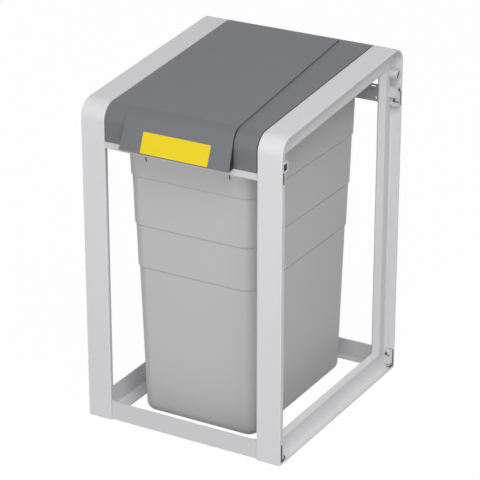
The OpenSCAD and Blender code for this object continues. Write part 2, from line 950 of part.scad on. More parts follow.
// Plan of the bin's wall at a height and above a number of steps, moved out or in by a distance
function bin_ring(z, steps, grow) =
    let (
        share = (z - bin_z) / (rim_rear_z - bin_z),
        out = (steps - len(step_heights) * share) * bin_step + grow)
    plan_ring(
        (bin_floor_w + (bin_mouth_w - bin_floor_w) * share) / 2 + out,
        bin_floor_front + (bin_mouth_front - bin_floor_front) * share - out,
        stand_d - bin_floor_rear + (bin_floor_rear - bin_mouth_rear) * share + out,
        max(bin_corner_r + grow, least_r));

// Rings from the lowest step to the highest: each step leans outwards as it rises
function step_rings(grow) = [
    for (k = [0 : len(step_heights) - 1])
        for (up = [0, 1])
            let (z = step_heights[k] + up * bin_step_rise)
            level(bin_ring(z, k + up, grow), z)];

// Rounded lower edge of a wall that stands in from the outside by an inset
function base_rings(inset) = [
    for (i = [0 : base_steps])
        let (a = quarter * i / base_steps, r = bin_base_r - inset)
        level(bin_ring(bin_z + inset, 0, -inset - r + r * sin(a)), bin_z + inset + r - r * cos(a))];

module skin(rings) {
    n = len(rings[0]);
    count = len(rings);
    polyhedron(
        points = [for (ring = rings) for (p = ring) p],
        faces = concat(
            [[for (i = [0 : n - 1]) i]],
            [[for (i = [n - 1 : -1 : 0]) (count - 1) * n + i]],
            [for (k = [0 : count - 2])
                for (i = [0 : n - 1])
                    let (a = k * n + i, b = k * n + (i + 1) % n)
                    each [[a, a + n, b], [b, a + n, b + n]]]));
}

module bin() {
    mouth = bin_ring(rim_rear_z, len(step_heights), 0);
    lip = plan_ring(bin_mouth_w / 2 + rim_side, bin_mouth_front - rim_w, bin_rear + rim_w, bin_corner_r);
    mouth_inside = bin_ring(rim_rear_z, len(step_heights), -bin_wall);
    inside = concat(base_rings(bin_wall), step_rings(-bin_wall));
    color(bin_grey)
        placed()
            difference() {
                skin(concat(
                    base_rings(0),
                    step_rings(0),
                    [on_rim(mouth, 0), on_rim(lip, 0), on_rim(lip, rim_t), on_rim(mouth_inside, rim_t)],
                    [for (i = [len(inside) - 1 : -1 : 0]) inside[i]]));
                both_sides()
                    translate([slit_x - slit_w / 2, 0, rim_front_z - slit_drop - slit_h])
                        cube([slit_w, bin_floor_front, slit_h]);
            }
}

module lock_pin() {
    difference() {
        union() {
            rod(lock_head_x, lock_y, lock_z, lock_head_d / 2, lock_head_l);
            rod(web_x - bar_t, lock_y, lock_z, lock_shank_d / 2, lock_head_x - web_x + bar_t + eps);
        }
        translate([lock_head_x + lock_head_l - lock_slot_d, lock_y, lock_z])
            rotate([-lock_slot_lean, 0, 0])
                translate([0, -lock_slot_w / 2, -lock_slot_l / 2])
                    cube([lock_slot_d + cut, lock_slot_w, lock_slot_l]);
    }
}

module lock_pin_left() {
    color(frame_grey)
        placed()
            mirrored()
                lock_pin();
}

module lock_pin_right() {
    color(frame_grey)
        placed()
            lock_pin();
}

module at_rear() {
    translate([0, stand_d, 0])
        mirror([0, 1, 0])
            children();
}

// A connector in the groove, cut back to the web's leaning side
module on_web() {
    difference() {
        children();
        web_body();
    }
}

// L-shaped notch for the hook of the next module, cut into a face that looks to the front
module hook_notch(x, y, z, reach) {
    translate([groove_x + x, y + notch_d, z])
        rotate([90, 0, 0])
            linear_extrude(notch_d + cut)
                polygon([[0, 0], [reach, 0], [reach, notch_foot_h], [notch_w, notch_foot_h],
                    [notch_w, notch_h], [0, notch_h]]);
}

// Slit along the outer edge of a clip that lies against the front band
module band_slit(z, h) {
    translate([clip_out_x - clip_slit_d, clip_y - cut, z - cut])
        cube([clip_slit_d + cut, clip_slit_w + cut, h + 2 * cut]);
}

// Two blocks in the groove of the rear post: the upper one has a three-cornered recess, the lower one
// the hook notch
module rear_upper_clip() {
    top = cover_axis_z - rear_clip_drop;
    shelf = top - rear_clip_block_h;
    foot = shelf - rear_clip_low_h;
    low_face = stand_d - clip_y - rear_clip_low_d;
    difference() {
        at_rear()
            difference() {
                union() {
                    translate([groove_x, clip_y, shelf])
                        cube([clip_w, rear_clip_block_d, rear_clip_block_h]);
                    translate([groove_x, clip_y, foot])
                        cube([clip_w, rear_clip_low_d, rear_clip_low_h + eps]);
                }
                band_slit(foot, rear_clip_low_h + rear_clip_block_h / 2);
                slab(clip_out_x - recess_d, recess_d + cut)
                    translate([clip_y + (rear_clip_block_d - recess_size) / 2, top - front_clip_wall])
                        polygon([[0, 0], [recess_size, 0], [0, -recess_size]]);
            }
        hook_notch(rear_notch_x, low_face, foot + rear_notch_up, clip_w);
    }
}

module rear_upper_clip_left() {
    color(frame_grey)
        placed()
            mirrored()
                on_web()
                    rear_upper_clip();
}

module rear_upper_clip_right() {
    color(frame_grey)
        placed()
            on_web()
                rear_upper_clip();
}

// Block in the groove of the front post with a pocket, and a tail below that stands off the band
module front_upper_clip() {
    shelf = front_h - front_clip_drop - front_clip_h;
    difference() {
        union() {
            translate([groove_x, clip_y, shelf])
                cube([clip_w, front_clip_d, front_clip_h]);
            translate([groove_x, clip_y + front_tail_gap, shelf - front_tail_l])
                cube([clip_w, front_tail_t, front_tail_l + eps]);
        }
        translate([clip_out_x - front_pocket_d, clip_y + front_clip_wall, shelf + front_clip_wall])
            cube([front_pocket_d + cut, front_clip_d - 2 * front_clip_wall,
                front_clip_h - 2 * front_clip_wall]);
    }
}

module front_upper_clip_left() {
    color(frame_grey)
        placed()
            mirrored()
                on_web()
                    front_upper_clip();
}

module front_upper_clip_right() {
    color(frame_grey)
        placed()
            on_web()
                front_upper_clip();
}

// Upright plate behind the front band with a hook notch, and a foot with two slots
module lower_clip() {
    foot_z = band_t + low_clip_gap;
    difference() {
        union() {
            translate([groove_x, clip_y, foot_z])
                cube([clip_w, low_clip_t, low_clip_h]);
            translate([groove_x, clip_y, foot_z])
                cube([clip_w, low_clip_t + low_foot_l, low_foot_h]);
        }
        band_slit(foot_z, low_clip_h);
        for (k = [0, 1])
            translate([clip_out_x - low_slot_d, clip_y + low_clip_t, foot_z + (1 + 2 * k) * low_slot_h])
                cube([low_slot_d + cut, low_foot_l + cut, low_slot_h]);
        at_rear()
            hook_notch(low_notch_x, stand_d - clip_y - low_clip_t, foot_z + low_notch_up, low_notch_l);
    }
}

module front_lower_clip_left() {
    color(frame_grey)
        placed()
            mirrored()
                on_web()
                    lower_clip();
}

module front_lower_clip_right() {
    color(frame_grey)
        placed()
            on_web()
                lower_clip();
}

module rear_lower_clip_left() {
    color(frame_grey)
        placed()
            mirrored()
                on_web()
                    at_rear()
                        lower_clip();
}

module rear_lower_clip_right() {
    color(frame_grey)
        placed()
            on_web()
                at_rear()
                    lower_clip();
}

side_frame_left();
side_frame_right();
lower_front_crossbar();
upper_front_crossbar();
lower_rear_crossbar();
upper_rear_crossbar();
frame_screws();
hinge_bracket_left();
hinge_bracket_right();
bracket_screws();
cover_hinge_pin_left();
cover_hinge_pin_right();
cover_hinge_bush_left();
cover_hinge_bush_right();
top_cover();
flap();
label_plate();
flap_hinge_pin_left();
flap_hinge_pin_right();
flap_buffers();
bin();
lock_pin_left();
lock_pin_right();
rear_upper_clip_left();
rear_upper_clip_right();
front_upper_clip_left();
front_upper_clip_right();
front_lower_clip_left();
front_lower_clip_right();
rear_lower_clip_left();
rear_lower_clip_right();
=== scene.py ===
"""Looks of a waste sorting station: open stand, hinged cover, throw-in flap and hanging bin."""

from __future__ import annotations

import json
import logging
import math
from contextlib import contextmanager
from dataclasses import dataclass
from enum import Enum
from typing import Callable, Iterator, Sequence

import bmesh
import bpy
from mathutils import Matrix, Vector

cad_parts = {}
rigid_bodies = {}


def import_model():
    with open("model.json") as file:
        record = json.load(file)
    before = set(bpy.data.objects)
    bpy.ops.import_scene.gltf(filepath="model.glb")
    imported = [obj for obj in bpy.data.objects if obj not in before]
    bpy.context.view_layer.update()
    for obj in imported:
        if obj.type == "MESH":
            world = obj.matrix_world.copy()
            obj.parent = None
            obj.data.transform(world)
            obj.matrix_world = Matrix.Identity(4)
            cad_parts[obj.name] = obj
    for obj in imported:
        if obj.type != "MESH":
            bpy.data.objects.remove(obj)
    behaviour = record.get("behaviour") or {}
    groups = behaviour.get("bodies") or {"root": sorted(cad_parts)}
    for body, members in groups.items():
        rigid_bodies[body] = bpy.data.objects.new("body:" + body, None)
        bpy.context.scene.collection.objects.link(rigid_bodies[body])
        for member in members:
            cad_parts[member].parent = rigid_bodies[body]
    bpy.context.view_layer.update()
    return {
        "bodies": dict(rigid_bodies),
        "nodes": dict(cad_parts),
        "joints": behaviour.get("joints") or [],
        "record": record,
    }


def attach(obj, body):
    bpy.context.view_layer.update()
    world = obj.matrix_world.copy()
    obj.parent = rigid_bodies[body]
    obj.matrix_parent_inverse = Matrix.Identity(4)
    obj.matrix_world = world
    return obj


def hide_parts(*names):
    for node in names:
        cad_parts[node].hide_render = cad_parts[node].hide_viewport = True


LOG = logging.getLogger("station")
Point = tuple[float, float, float]
Flat = tuple[float, float]
Ring = list[Point]
Piece = bpy.types.Object
Finish = bpy.types.Material

# Points nearer to each other than this in metres are merged
MERGE = 1e-6
# A point lies at a place if it is no farther from it than this in metres
NEAR = 1e-5
# Edges sharper than this in degrees are rounded, or than the second angle on a copied CAD node
SHARP = 32.0
CAD_SHARP = 30.0
# Shading stays smooth up to this many degrees past the angle of a rounded edge
SMOOTH_PAST = 8.0
# How strongly large faces lead the shading
FACE_WEIGHT = 80
# Faces of a copied CAD node that turn by less than this in degrees become one face
FLAT_TURN = 0.6
# Rays that the shaded rounding of an edge takes
EDGE_RAYS = 6
WHITE = (1.0, 1.0, 1.0, 1.0)


class Ends(Enum):
    """How the first and the last ring of a skin are finished."""

    FILLED = "filled"
    JOINED = "joined"


class Side(Enum):
    """The four sides of a stand frame, in the order in which a loop runs round it."""

    FRONT = 0
    BOTTOM = 1
    REAR = 2
    TOP = 3


class Hand(Enum):
    """Left or right of the station; the value is the sign of x."""

    LEFT = -1
    RIGHT = 1


# Bench: small wrappers round Blender's own operators


def start_fresh() -> None:
    """Leaves nothing selected and no object in edit mode."""
    if bpy.context.mode != "OBJECT":
        bpy.ops.object.mode_set(mode="OBJECT")
    bpy.ops.object.select_all(action="DESELECT")


def pick(piece: Piece) -> None:
    """Makes one object the selected and active one.

    Args:
        piece: The object.
    """
    start_fresh()
    piece.select_set(True)
    bpy.context.view_layer.objects.active = piece


@contextmanager
def editing(piece: Piece, kind: str = "VERT", action: str = "DESELECT") -> Iterator[None]:
    """Opens a piece in edit mode and closes it again.

    Args:
        piece: The object to edit.
        kind: Selection mode, VERT, EDGE or FACE.
        action: SELECT to start with everything selected, DESELECT with nothing.

    Returns:
        The context in which the piece is in edit mode.
    """
    pick(piece)
    bpy.ops.object.mode_set(mode="EDIT")
    bpy.ops.mesh.select_mode(type=kind)
    bpy.ops.mesh.select_all(action=action)
    yield
    bpy.ops.object.mode_set(mode="OBJECT")


def start_piece(name: str, primitive: Callable[..., object], **settings: object) -> Piece:
    """Adds the primitive that a piece starts from.

    Args:
        name: Name of the piece.
        primitive: The operator that adds it.
        **settings: The operator's settings.

    Returns:
        The new object.
    """
    start_fresh()
    primitive(**settings)
    piece = bpy.context.active_object
    piece.name = piece.data.name = name
    return piece


def choose(piece: Piece, kind: str, test: Callable[[Vector], bool]) -> None:
    """Selects the vertices, edges or faces of a piece in edit mode by their places.

    Args:
        piece: The object in edit mode.
        kind: VERT, EDGE or FACE.
        test: Says for each corner of an element whether it belongs.
    """
    bpy.ops.mesh.select_mode(type=kind)
    bpy.ops.mesh.select_all(action="DESELECT")
    mesh = bmesh.from_edit_mesh(piece.data)
    for item in {"VERT": mesh.verts, "EDGE": mesh.edges, "FACE": mesh.faces}[kind]:
        corners = [item] if kind == "VERT" else item.verts
        if all(test(corner.co) for corner in corners):
            item.select_set(True)
    mesh.select_flush_mode()
    bmesh.update_edit_mesh(piece.data)


def pull_edges(piece: Piece, test: Callable[[Vector], bool], lay: Callable[[Vector], Point]) -> None:
    """Extrudes edges of a piece in edit mode and lays their new points in place.

    Args:
        piece: The object in edit mode.
        test: Says for each end of an edge whether it belongs.
        lay: Gives the place of a new point.
    """
    choose(piece, "EDGE", test)
    bpy.ops.mesh.extrude_edges_indiv()
    mesh = bmesh.from_edit_mesh(piece.data)
    for vertex in mesh.verts:
        if vertex.select:
            vertex.co = lay(vertex.co)
    bmesh.update_edit_mesh(piece.data)


def weld() -> None:
    """Merges doubled points of the piece in edit mode and turns its faces outwards."""
    bpy.ops.mesh.select_all(action="SELECT")
    bpy.ops.mesh.remove_doubles(threshold=MERGE)
    bpy.ops.mesh.normals_make_consistent(inside=False)


def finish_with(piece: Piece, kind: str, **settings: object) -> None:
    """Adds a modifier with its settings and applies it.

    Args:
        piece: The object.
        kind: The modifier's type.
        **settings: Its settings by name.
    """
    pick(piece)
    modifier = piece.modifiers.new(kind.lower(), kind)
    for name, value in settings.items():
        setattr(modifier, name, value)
    bpy.ops.object.modifier_apply(modifier=modifier.name)


def cut(piece: Piece, cutter: Piece) -> None:
    """Cuts a piece with a closed cutter, which is then removed."""
    finish_with(piece, "BOOLEAN", object=cutter, operation="DIFFERENCE", solver="EXACT")
    bpy.data.objects.remove(cutter)


def joined(parts: Sequence[Piece]) -> Piece:
    """Joins parts into one piece.

    Args:
        parts: The parts.

    Returns:
        The first of them, which holds them all.
    """
    pick(parts[0])
    for part in parts[1:]:
        part.select_set(True)
    bpy.ops.object.join()
    return parts[0]


def mirrored(piece: Piece) -> Piece:
    """Copies a piece of the right side to the left.

    Args:
        piece: The right piece.

    Returns:
        The left piece, whose faces are still to be turned outwards.
    """
    twin = piece.copy()
    twin.data = piece.data.copy()
    bpy.context.scene.collection.objects.link(twin)
    with editing(twin, action="SELECT"):
        bpy.ops.transform.resize(value=(-1, 1, 1), center_override=(0, 0, 0))
    return twin


def polish(piece: Piece, edge: float, steps: int = 3, sharp: float = SHARP) -> None:
    """Rounds the sharp edges of a closed piece and shades it.

    Args:
        piece: The object.
        edge: Radius of the rounding in metres, 0 for none.
        steps: Segments of the rounding.
        sharp: Least angle of an edge that is rounded, in degrees.
    """
    if edge > 0:
        finish_with(piece, "BEVEL", width=edge, segments=steps, limit_method="ANGLE",
                    angle_limit=math.radians(sharp), use_clamp_overlap=True, miter_outer="MITER_ARC")
    pick(piece)
    bpy.ops.object.shade_smooth_by_angle(angle=math.radians(sharp + SMOOTH_PAST))
    finish_with(piece, "WEIGHTED_NORMAL", keep_sharp=True, weight=FACE_WEIGHT)


def arc(x: float, y: float, r: float, start: float, end: float, steps: int) -> list[Flat]:
    """Points on an arc round a centre, one more than its steps, with both angles in degrees."""
    turns = [math.radians(start + (end - start) * i / steps) for i in range(steps + 1)]
    return [(x + r * math.cos(a), y + r * math.sin(a)) for a in turns]


def draw_skin(name: str, rings: Sequence[Ring], ends: Ends) -> Piece:
    """Draws a closed piece by extruding a ring of edges from station to station.

    Args:
        name: Name of the piece.
        rings: Stations with the same number of points each.
        ends: Filled with a face, or the last ring joined to the first.

    Returns:
        The new object.
    """
    piece = start_piece(name, bpy.ops.mesh.primitive_circle_add, vertices=len(rings[0]), radius=1.0)
    with editing(piece, "EDGE", "SELECT"):
        mesh = bmesh.from_edit_mesh(piece.data)
        line = list(enumerate(mesh.verts))
        closing = [rings[0]] if ends is Ends.JOINED else []
        for count, station in enumerate([*rings, *closing]):
            if count:
                bpy.ops.mesh.extrude_edges_indiv()
                mesh = bmesh.from_edit_mesh(piece.data)
                line = [(spots[tuple(v.co)], v) for v in mesh.verts if v.select]
            for index, vertex in line:
                vertex.co = station[index]
            spots = {tuple(v.co): index for index, v in line}
            bmesh.update_edit_mesh(piece.data)
        if ends is Ends.FILLED:
            bpy.ops.mesh.select_all(action="SELECT")
            bpy.ops.mesh.fill_holes(sides=0)
        weld()
    return piece


def draw_strip(name: str, line: Sequence[Flat], half: Callable[[float], float]) -> Piece:
    """Draws an open sheet by extruding an edge along a side view, symmetrical about x = 0.

    Args:
        name: Name of the piece.
        line: Side view as points in y and z.
        half: Half width of the sheet at a y.

    Returns:
        The new object.
    """
    piece = start_piece(name, bpy.ops.mesh.primitive_plane_add, size=1.0)
    for vertex, (place, sign) in zip(piece.data.vertices, ((0, -1), (0, 1), (1, -1), (1, 1))):
        y, z = line[place]
        vertex.co = (sign * half(y), y, z)
    with editing(piece, "EDGE"):
        mesh = bmesh.from_edit_mesh(piece.data)
        mesh.verts.ensure_lookup_table()
        edge = mesh.edges.get((mesh.verts[2], mesh.verts[3]))
        edge.select_set(True)
        bmesh.update_edit_mesh(piece.data)
        for (y0, z0), (y1, z1) in zip(line[1:], line[2:]):
            bpy.ops.mesh.extrude_edges_move(TRANSFORM_OT_translate={"value": (0, y1 - y0, z1 - z0)})
            bpy.ops.transform.resize(value=(half(y1) / half(y0), 1, 1))
    return piece


def prism(name: str, side: Sequence[Flat], ends: Flat) -> Piece:
    """Draws a closed piece from its side view in y and z and its two ends in x."""
    return draw_skin(name, [[(x, y, z) for y, z in side] for x in ends], Ends.FILLED)


# Finishes


class Num:
    """A number in a shader that takes Python arithmetic."""

    def __init__(self, desk: "Desk", socket: bpy.types.NodeSocket) -> None:
        """Keeps the node desk and the socket."""
        self.desk = desk
        self.socket = socket

    def math(self, operation: str, *others: "Num | float") -> "Num":
        """Result of one Math node on this number and the others."""
        inputs = dict(enumerate([self, *others]))
        return self.desk.node("ShaderNodeMath", {"operation": operation}, inputs, "Value")

    def __add__(self, other: "Num | float") -> "Num":
        """Sum."""
        return self.math("ADD", other)

    __radd__ = __add__

    def __mul__(self, other: "Num | float") -> "Num":
        """Product."""
        return self.math("MULTIPLY", other)

    __rmul__ = __mul__


class Desk:
    """The node tree of one material or of the world."""

    def __init__(self, owner: bpy.types.ID) -> None:
        """Empties the tree of its owner.

        Args:
            owner: The material or the world.
        """
        owner.use_nodes = True
        self.owner = owner
        self.tree = owner.node_tree
        self.tree.nodes.clear()

    def node(self, kind: str, settings: dict, inputs: dict, out: str | None = None) -> object:
        """Adds one node.

        Args:
            kind: The node's type.
            settings: Its settings, which are set first.
            inputs: Values, numbers or sockets by the name or index of the input.
            out: Name of the output to return as a number, or None for the node itself.

        Returns:
            The node, or one of its outputs.
        """
        made = self.tree.nodes.new(kind)
        for name, value in settings.items():
            setattr(made, name, value)
        for name, value in inputs.items():
            socket = made.inputs[name]
            if isinstance(value, Num):
                self.tree.links.new(value.socket, socket)
            elif isinstance(value, bpy.types.NodeSocket):
                self.tree.links.new(value, socket)
            else:
                socket.default_value = value
        return Num(self, made.outputs[out]) if out else made

    def noise(self, scale: float, detail: float = 2.0, rough: float = 0.5,
              stretch: Point = (1, 1, 1)) -> Num:
        """Noise on the piece's own coordinates.

        Args:
            scale: Waves per metre.
            detail: Octaves.
            rough: Share of the finer octaves.
            stretch: Scale along each axis.

        Returns:
            A number around 0.5.
        """
        place = self.node("ShaderNodeTexCoord", {}, {}).outputs["Object"]
        mapped = self.node("ShaderNodeMapping", {}, {"Vector": place, "Scale": stretch}).outputs["Vector"]
        return self.node("ShaderNodeTexNoise", {}, {
            "Vector": mapped, "Scale": scale, "Detail": detail, "Roughness": rough}, "Fac")

    def tint(self, share: Num, low: Sequence[float], high: Sequence[float]) -> bpy.types.NodeSocket:
        """Mixes two linear colours, the low one at 0 and the high one at 1."""
        inputs = {0: share, 6: (*low, 1), 7: (*high, 1)}
        return self.node("ShaderNodeMix", {"data_type": "RGBA"}, inputs).outputs[2]

    def relief(self, height: Num, distance: float, edge: float,
               strength: float = 1.0) -> bpy.types.NodeSocket:
        """Turns a height into a bumped normal.

        Args:
            height: The height.
            distance: Height of the bumps in metres.
            edge: Radius of the edges that are shaded round, 0 for none.
            strength: Strength of the bumps.

        Returns:
            The normal's socket.
        """
        inputs = {"Strength": strength, "Distance": distance, "Height": height}
        if edge > 0:
            bevel = self.node("ShaderNodeBevel", {"samples": EDGE_RAYS}, {"Radius": edge})
            inputs["Normal"] = bevel.outputs["Normal"]
        return self.node("ShaderNodeBump", {}, inputs).outputs["Normal"]

    def seen(self, *kinds: str) -> Num:
        """Tells some kinds of rays from all others.

        Args:
            *kinds: Names of the kinds.

        Returns:
            1 for these rays and 0 for others.
        """
        first, *others = [self.node("ShaderNodeLightPath", {}, {}, f"Is {kind} Ray") for kind in kinds]
        for ray in others:
            first = first.math("MAXIMUM", ray)
        return first

    def surface(self, inputs: dict) -> Finish:
        """Closes the material with a Principled shader.

        Args:
            inputs: The shader's inputs.

        Returns:
            The finished material.
        """
        shader = self.node("ShaderNodeBsdfPrincipled", {}, inputs)
        self.node("ShaderNodeOutputMaterial", {}, {"Surface": shader.outputs["BSDF"]})
        return self.owner


def shade(colour: Point, factor: float) -> Point:
    """A colour made lighter or darker."""
    return tuple(part * factor for part in colour)


@dataclass(frozen=True)
class Moulded:
    """Moulded plastic with a fine grain, faint clouding and slightly uneven gloss.

    The grain's height and size and the edges are in metres, clouds are in waves per metre, and the fine
    clouding is in waves per grain. Mottle is how far the colour strays, as a share of itself.
    """

    name: str
    colour: Point
    rough: float = 0.5
    grain: float = 0.00003
    grain_size: float = 0.0012
    mottle: float = 0.03
    edge: float = 0.0
    specular: float = 0.4
    cloud_waves: float = 14.0
    cloud_share: float = 0.7
    cloud_gloss: float = 0.08
    fine_waves: float = 0.45
    fine_gloss: float = 0.06

    def make(self) -> Finish:
        """Builds the material.

        Returns:
            The material.
        """
        desk = Desk(bpy.data.materials.new(self.name))
        grain = desk.noise(1 / self.grain_size, 3.0, 0.6)
        clouds = desk.noise(self.cloud_waves)
        fine = desk.noise(self.fine_waves / self.grain_size, 2.0, 0.55)
        share = clouds * self.cloud_share + fine * (1 - self.cloud_share)
        low, high = (shade(self.colour, 1 + part * self.mottle) for part in (-1, 1))
        even = self.rough - (self.cloud_gloss + self.fine_gloss) / 2
        return desk.surface({
            "Base Color": desk.tint(share, low, high),
            "Roughness": clouds * self.cloud_gloss + fine * self.fine_gloss + even,
            "Specular IOR Level": self.specular,
            "Normal": desk.relief(grain, self.grain, self.edge)})


@dataclass(frozen=True)
class Coated:
    """Sheet steel with the orange peel of a satin powder coat; sizes are in metres or waves per metre."""

    name: str
    colour: Point
    rough: float = 0.42
    peel: float = 0.00004
    edge: float = 0.0005
    peel_waves: float = 420.0
    cloud_waves: float = 9.0
    mottle: float = 0.02
    gloss: float = 0.1

    def make(self) -> Finish:
        """Builds the material.

        Returns:
            The material.
        """
        desk = Desk(bpy.data.materials.new(self.name))
        peel = desk.noise(self.peel_waves, 1.5, 0.45)
        clouds = desk.noise(self.cloud_waves)
        low, high = (shade(self.colour, 1 + part * self.mottle) for part in (-1, 1))
        return desk.surface({
            "Base Color": desk.tint(clouds, low, high),
            "Roughness": clouds * self.gloss + (self.rough - self.gloss / 2),
            "Coat Weight": clouds * self.gloss + self.gloss / 2,
            "Normal": desk.relief(peel, self.peel, self.edge)})


@dataclass(frozen=True)
class Plated:
    """Zinc-plated steel with drawn scratches and cloudy gloss; sizes are in metres or waves per metre."""

    name: str
    colour: Point
    rough: float = 0.32
    edge: float = 0.0003
    scratch: float = 0.00002
    scratch_strength: float = 0.6
    scratch_waves: float = 900.0
    drawn: Point = (0.08, 1, 1)
    scratch_gloss: float = 0.08
    cloud_waves: float = 60.0
    cloud_gloss: float = 0.16
    tarnish: float = 0.9
    metal: float = 0.95

    def make(self) -> Finish:
        """Builds the material.

        Returns:
            The material.
        """
        desk = Desk(bpy.data.materials.new(self.name))
        scratches = desk.noise(self.scratch_waves, 3.0, 0.7, self.drawn)
        clouds = desk.noise(self.cloud_waves)
        even = self.rough - (self.cloud_gloss + self.scratch_gloss) / 2
        return desk.surface({
            "Base Color": desk.tint(clouds, shade(self.colour, self.tarnish), self.colour),
            "Metallic": self.metal,
            "Roughness": clouds * self.cloud_gloss + scratches * self.scratch_gloss + even,
            "Normal": desk.relief(scratches, self.scratch, self.edge, self.scratch_strength)})


@dataclass(frozen=True)
class Finishes:
    """All finishes of the station."""

    frame: Moulded = Moulded("frame_satin", (0.680, 0.673, 0.695), rough=0.46, grain=0.000012,
                             grain_size=0.0009, mottle=0.012, specular=0.22)
    bars: Coated = Coated("bar_powder_coat", (0.605, 0.600, 0.618))
    clips: Moulded = Moulded("clip_satin", (0.60, 0.60, 0.61), grain=0.000015, grain_size=0.0009,
                             mottle=0.02, edge=0.0003)
    cover: Moulded = Moulded("cover_grain", (0.146, 0.149, 0.161), grain=0.000035, grain_size=0.0011)
    bin: Moulded = Moulded("bin_grain", (0.508, 0.508, 0.508), rough=0.55, grain_size=0.0013, mottle=0.015)
    label: Moulded = Moulded("label_gloss", (0.775, 0.588, 0.010), rough=0.4, grain=0.000006,
                             grain_size=0.004, mottle=0.01, edge=0.0003, specular=0.3)
    bush: Moulded = Moulded("bush_nylon", (0.80, 0.80, 0.77), rough=0.4, grain=0.00001, grain_size=0.002,
                            mottle=0.02, edge=0.0003)
    buffer: Moulded = Moulded("buffer_rubber", (0.02, 0.02, 0.022), rough=0.75, grain_size=0.0008,
                              mottle=0.05, edge=0.0004)
    steel: Plated = Plated("plated_steel", (0.60, 0.61, 0.62))
    # Black for painted shade: the blocks in the clips' notches and the lock pins' slots, and the strips on
    # the flap's cheeks
    shade_block: Moulded = Moulded("painted_shade_black", (0.022, 0.021, 0.021), rough=0.6, grain=0.00001,
                             grain_size=0.001, mottle=0.05, specular=0.25)


def dress(piece: Piece, material: Finish) -> None:
    """Gives a piece or a CAD node one material in all its slots.

    Args:
        piece: The object.
        material: Its material.
    """
    if not piece.material_slots:
        piece.data.materials.append(material)
    for place in piece.material_slots:
        place.material = material


def hand_over(piece: Piece, body: str, slot: str, material: Finish, *nodes: str) -> None:
    """Dresses a finished piece, ties it to its body, hides the CAD nodes that it stands for, and reports it.

    Args:
        piece: The object.
        body: The CAD body that it rides on.
        slot: The record's material slot; not used.
        material: Its material.
        *nodes: The CAD nodes that it stands for.
    """
    piece.data.materials.clear()
    dress(piece, material)
    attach(piece, body)
    if nodes:
        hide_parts(*nodes)
    LOG.info("%s: %d faces, rides on %s, stands for %s", piece.name, len(piece.data.polygons), body,
             ", ".join(nodes) or "itself")


def soften(frame: dict, node: str, name: str, edge: float, body: str, slot: str, material: Finish) -> None:
    """Replaces a CAD node by a copy with whole faces and rounded edges.

    Args:
        node: Name of the CAD node.
        name: Name of the new piece.
        edge: Radius of the rounding in metres.
        body: The CAD body that it rides on.
        slot: The record's material slot.
        material: Its material.
    """
    piece = bpy.data.objects.new(name, frame["nodes"][node].data.copy())
    piece.data.name = name
    bpy.context.scene.collection.objects.link(piece)
    with editing(piece, action="SELECT"):
        bpy.ops.mesh.customdata_custom_splitnormals_clear()
        bpy.ops.mesh.remove_doubles(threshold=2 * MERGE)
        bpy.ops.mesh.dissolve_limited(angle_limit=math.radians(FLAT_TURN))
    polish(piece, edge, 2, CAD_SHARP)
    hand_over(piece, body, slot, material, node)


# The station's shared side view


@dataclass(frozen=True)
class Outline:
    """Side view of the stand in metres; y runs from the front plane and is moved to the middle last."""

    width: float = 0.370
    depth: float = 0.420
    front_height: float = 0.5655
    slope: float = math.radians(4.97)
    front_corner: float = 0.030
    rear_corner: float = 0.028
    foot_corner: float = 0.002
    middle: float = 0.199838
    hold: float = 0.002

    def raised(self, y: float, rise: float) -> float:
        """Height of the top line at a y, moved outwards by a rise."""
        return self.front_height + y * math.tan(self.slope) + rise / math.cos(self.slope)

    def corner(self, spot: Flat, before: Flat, after: Flat, r: float, steps: int) -> list[Flat]:
        """Points round one corner of a loop, with a holding point on each straight side.

        Args:
            spot: The sharp corner.
            before: Direction of travel on the side before it.
            after: Direction of travel on the side after it.
            r: Radius.
            steps: Segments of the arc.

        Returns:
            Steps plus three points.
        """
        turn = math.acos(before[0] * after[0] + before[1] * after[1])
        reach = r * math.tan(turn / 2)
        start = (spot[0] - before[0] * reach, spot[1] - before[1] * reach)
        end = (spot[0] + after[0] * reach, spot[1] + after[1] * reach)
        centre = (start[0] - before[1] * r, start[1] + before[0] * r)
        first = math.degrees(math.atan2(start[1] - centre[1], start[0] - centre[0]))
        points = arc(*centre, r, first, first + math.degrees(turn), steps)
        lead = (start[0] - before[0] * self.hold, start[1] - before[1] * self.hold)
        tail = (end[0] + after[0] * self.hold, end[1] + after[1] * self.hold)
        return [lead, *points, tail]

    def corners(self, depths: Sequence[float], radii: Sequence[float],
                steps: Sequence[int]) -> list[list[Flat]]:
        """The four corners of a loop at a depth on each side.

        Args:
            depths: Depth of the loop at the front, bottom, rear and top.
            radii: Radii of the front foot, rear foot, rear top and front top corner.
            steps: Segments of these corners.

        Returns:
            The points of each corner.
        """
        front, bottom, rear, top = depths
        back = self.depth - rear
        spots = [(front, bottom), (back, bottom), (back, self.raised(back, -top)),
                 (front, self.raised(front, -top))]
        ways = [(0.0, -1.0), (1.0, 0.0), (0.0, 1.0), (-math.cos(self.slope), -math.sin(self.slope))]
        return [self.corner(spots[k], ways[k], ways[(k + 1) % 4], radii[k], steps[k]) for k in range(4)]

    def top_line(self, depth: float, foot: float, heel: float, steps: int) -> list[Flat]:
        """Side view of a sheet that runs up the front, over the top and down the rear.

        Args:
            depth: Depth below the stand's outline.
            foot: Height of its front end.
            heel: Height of its rear end.
            steps: Segments of each corner.

        Returns:
            Points from the front end to the rear end.
        """
        radii = [self.foot_corner, self.foot_corner, self.rear_corner - depth, self.front_corner - depth]
        found = self.corners([depth] * 4, radii, [1, 1, steps, steps])
        return [(depth, foot), *found[3][::-1], *found[2][::-1], (self.depth - depth, heel)]


OUTLINE = Outline()


def settle(piece: Piece) -> None:
    """Moves a piece from the front plane's y to the station's middle."""
    with editing(piece, action="SELECT"):
        bpy.ops.transform.translate(value=(0, -OUTLINE.middle, 0))


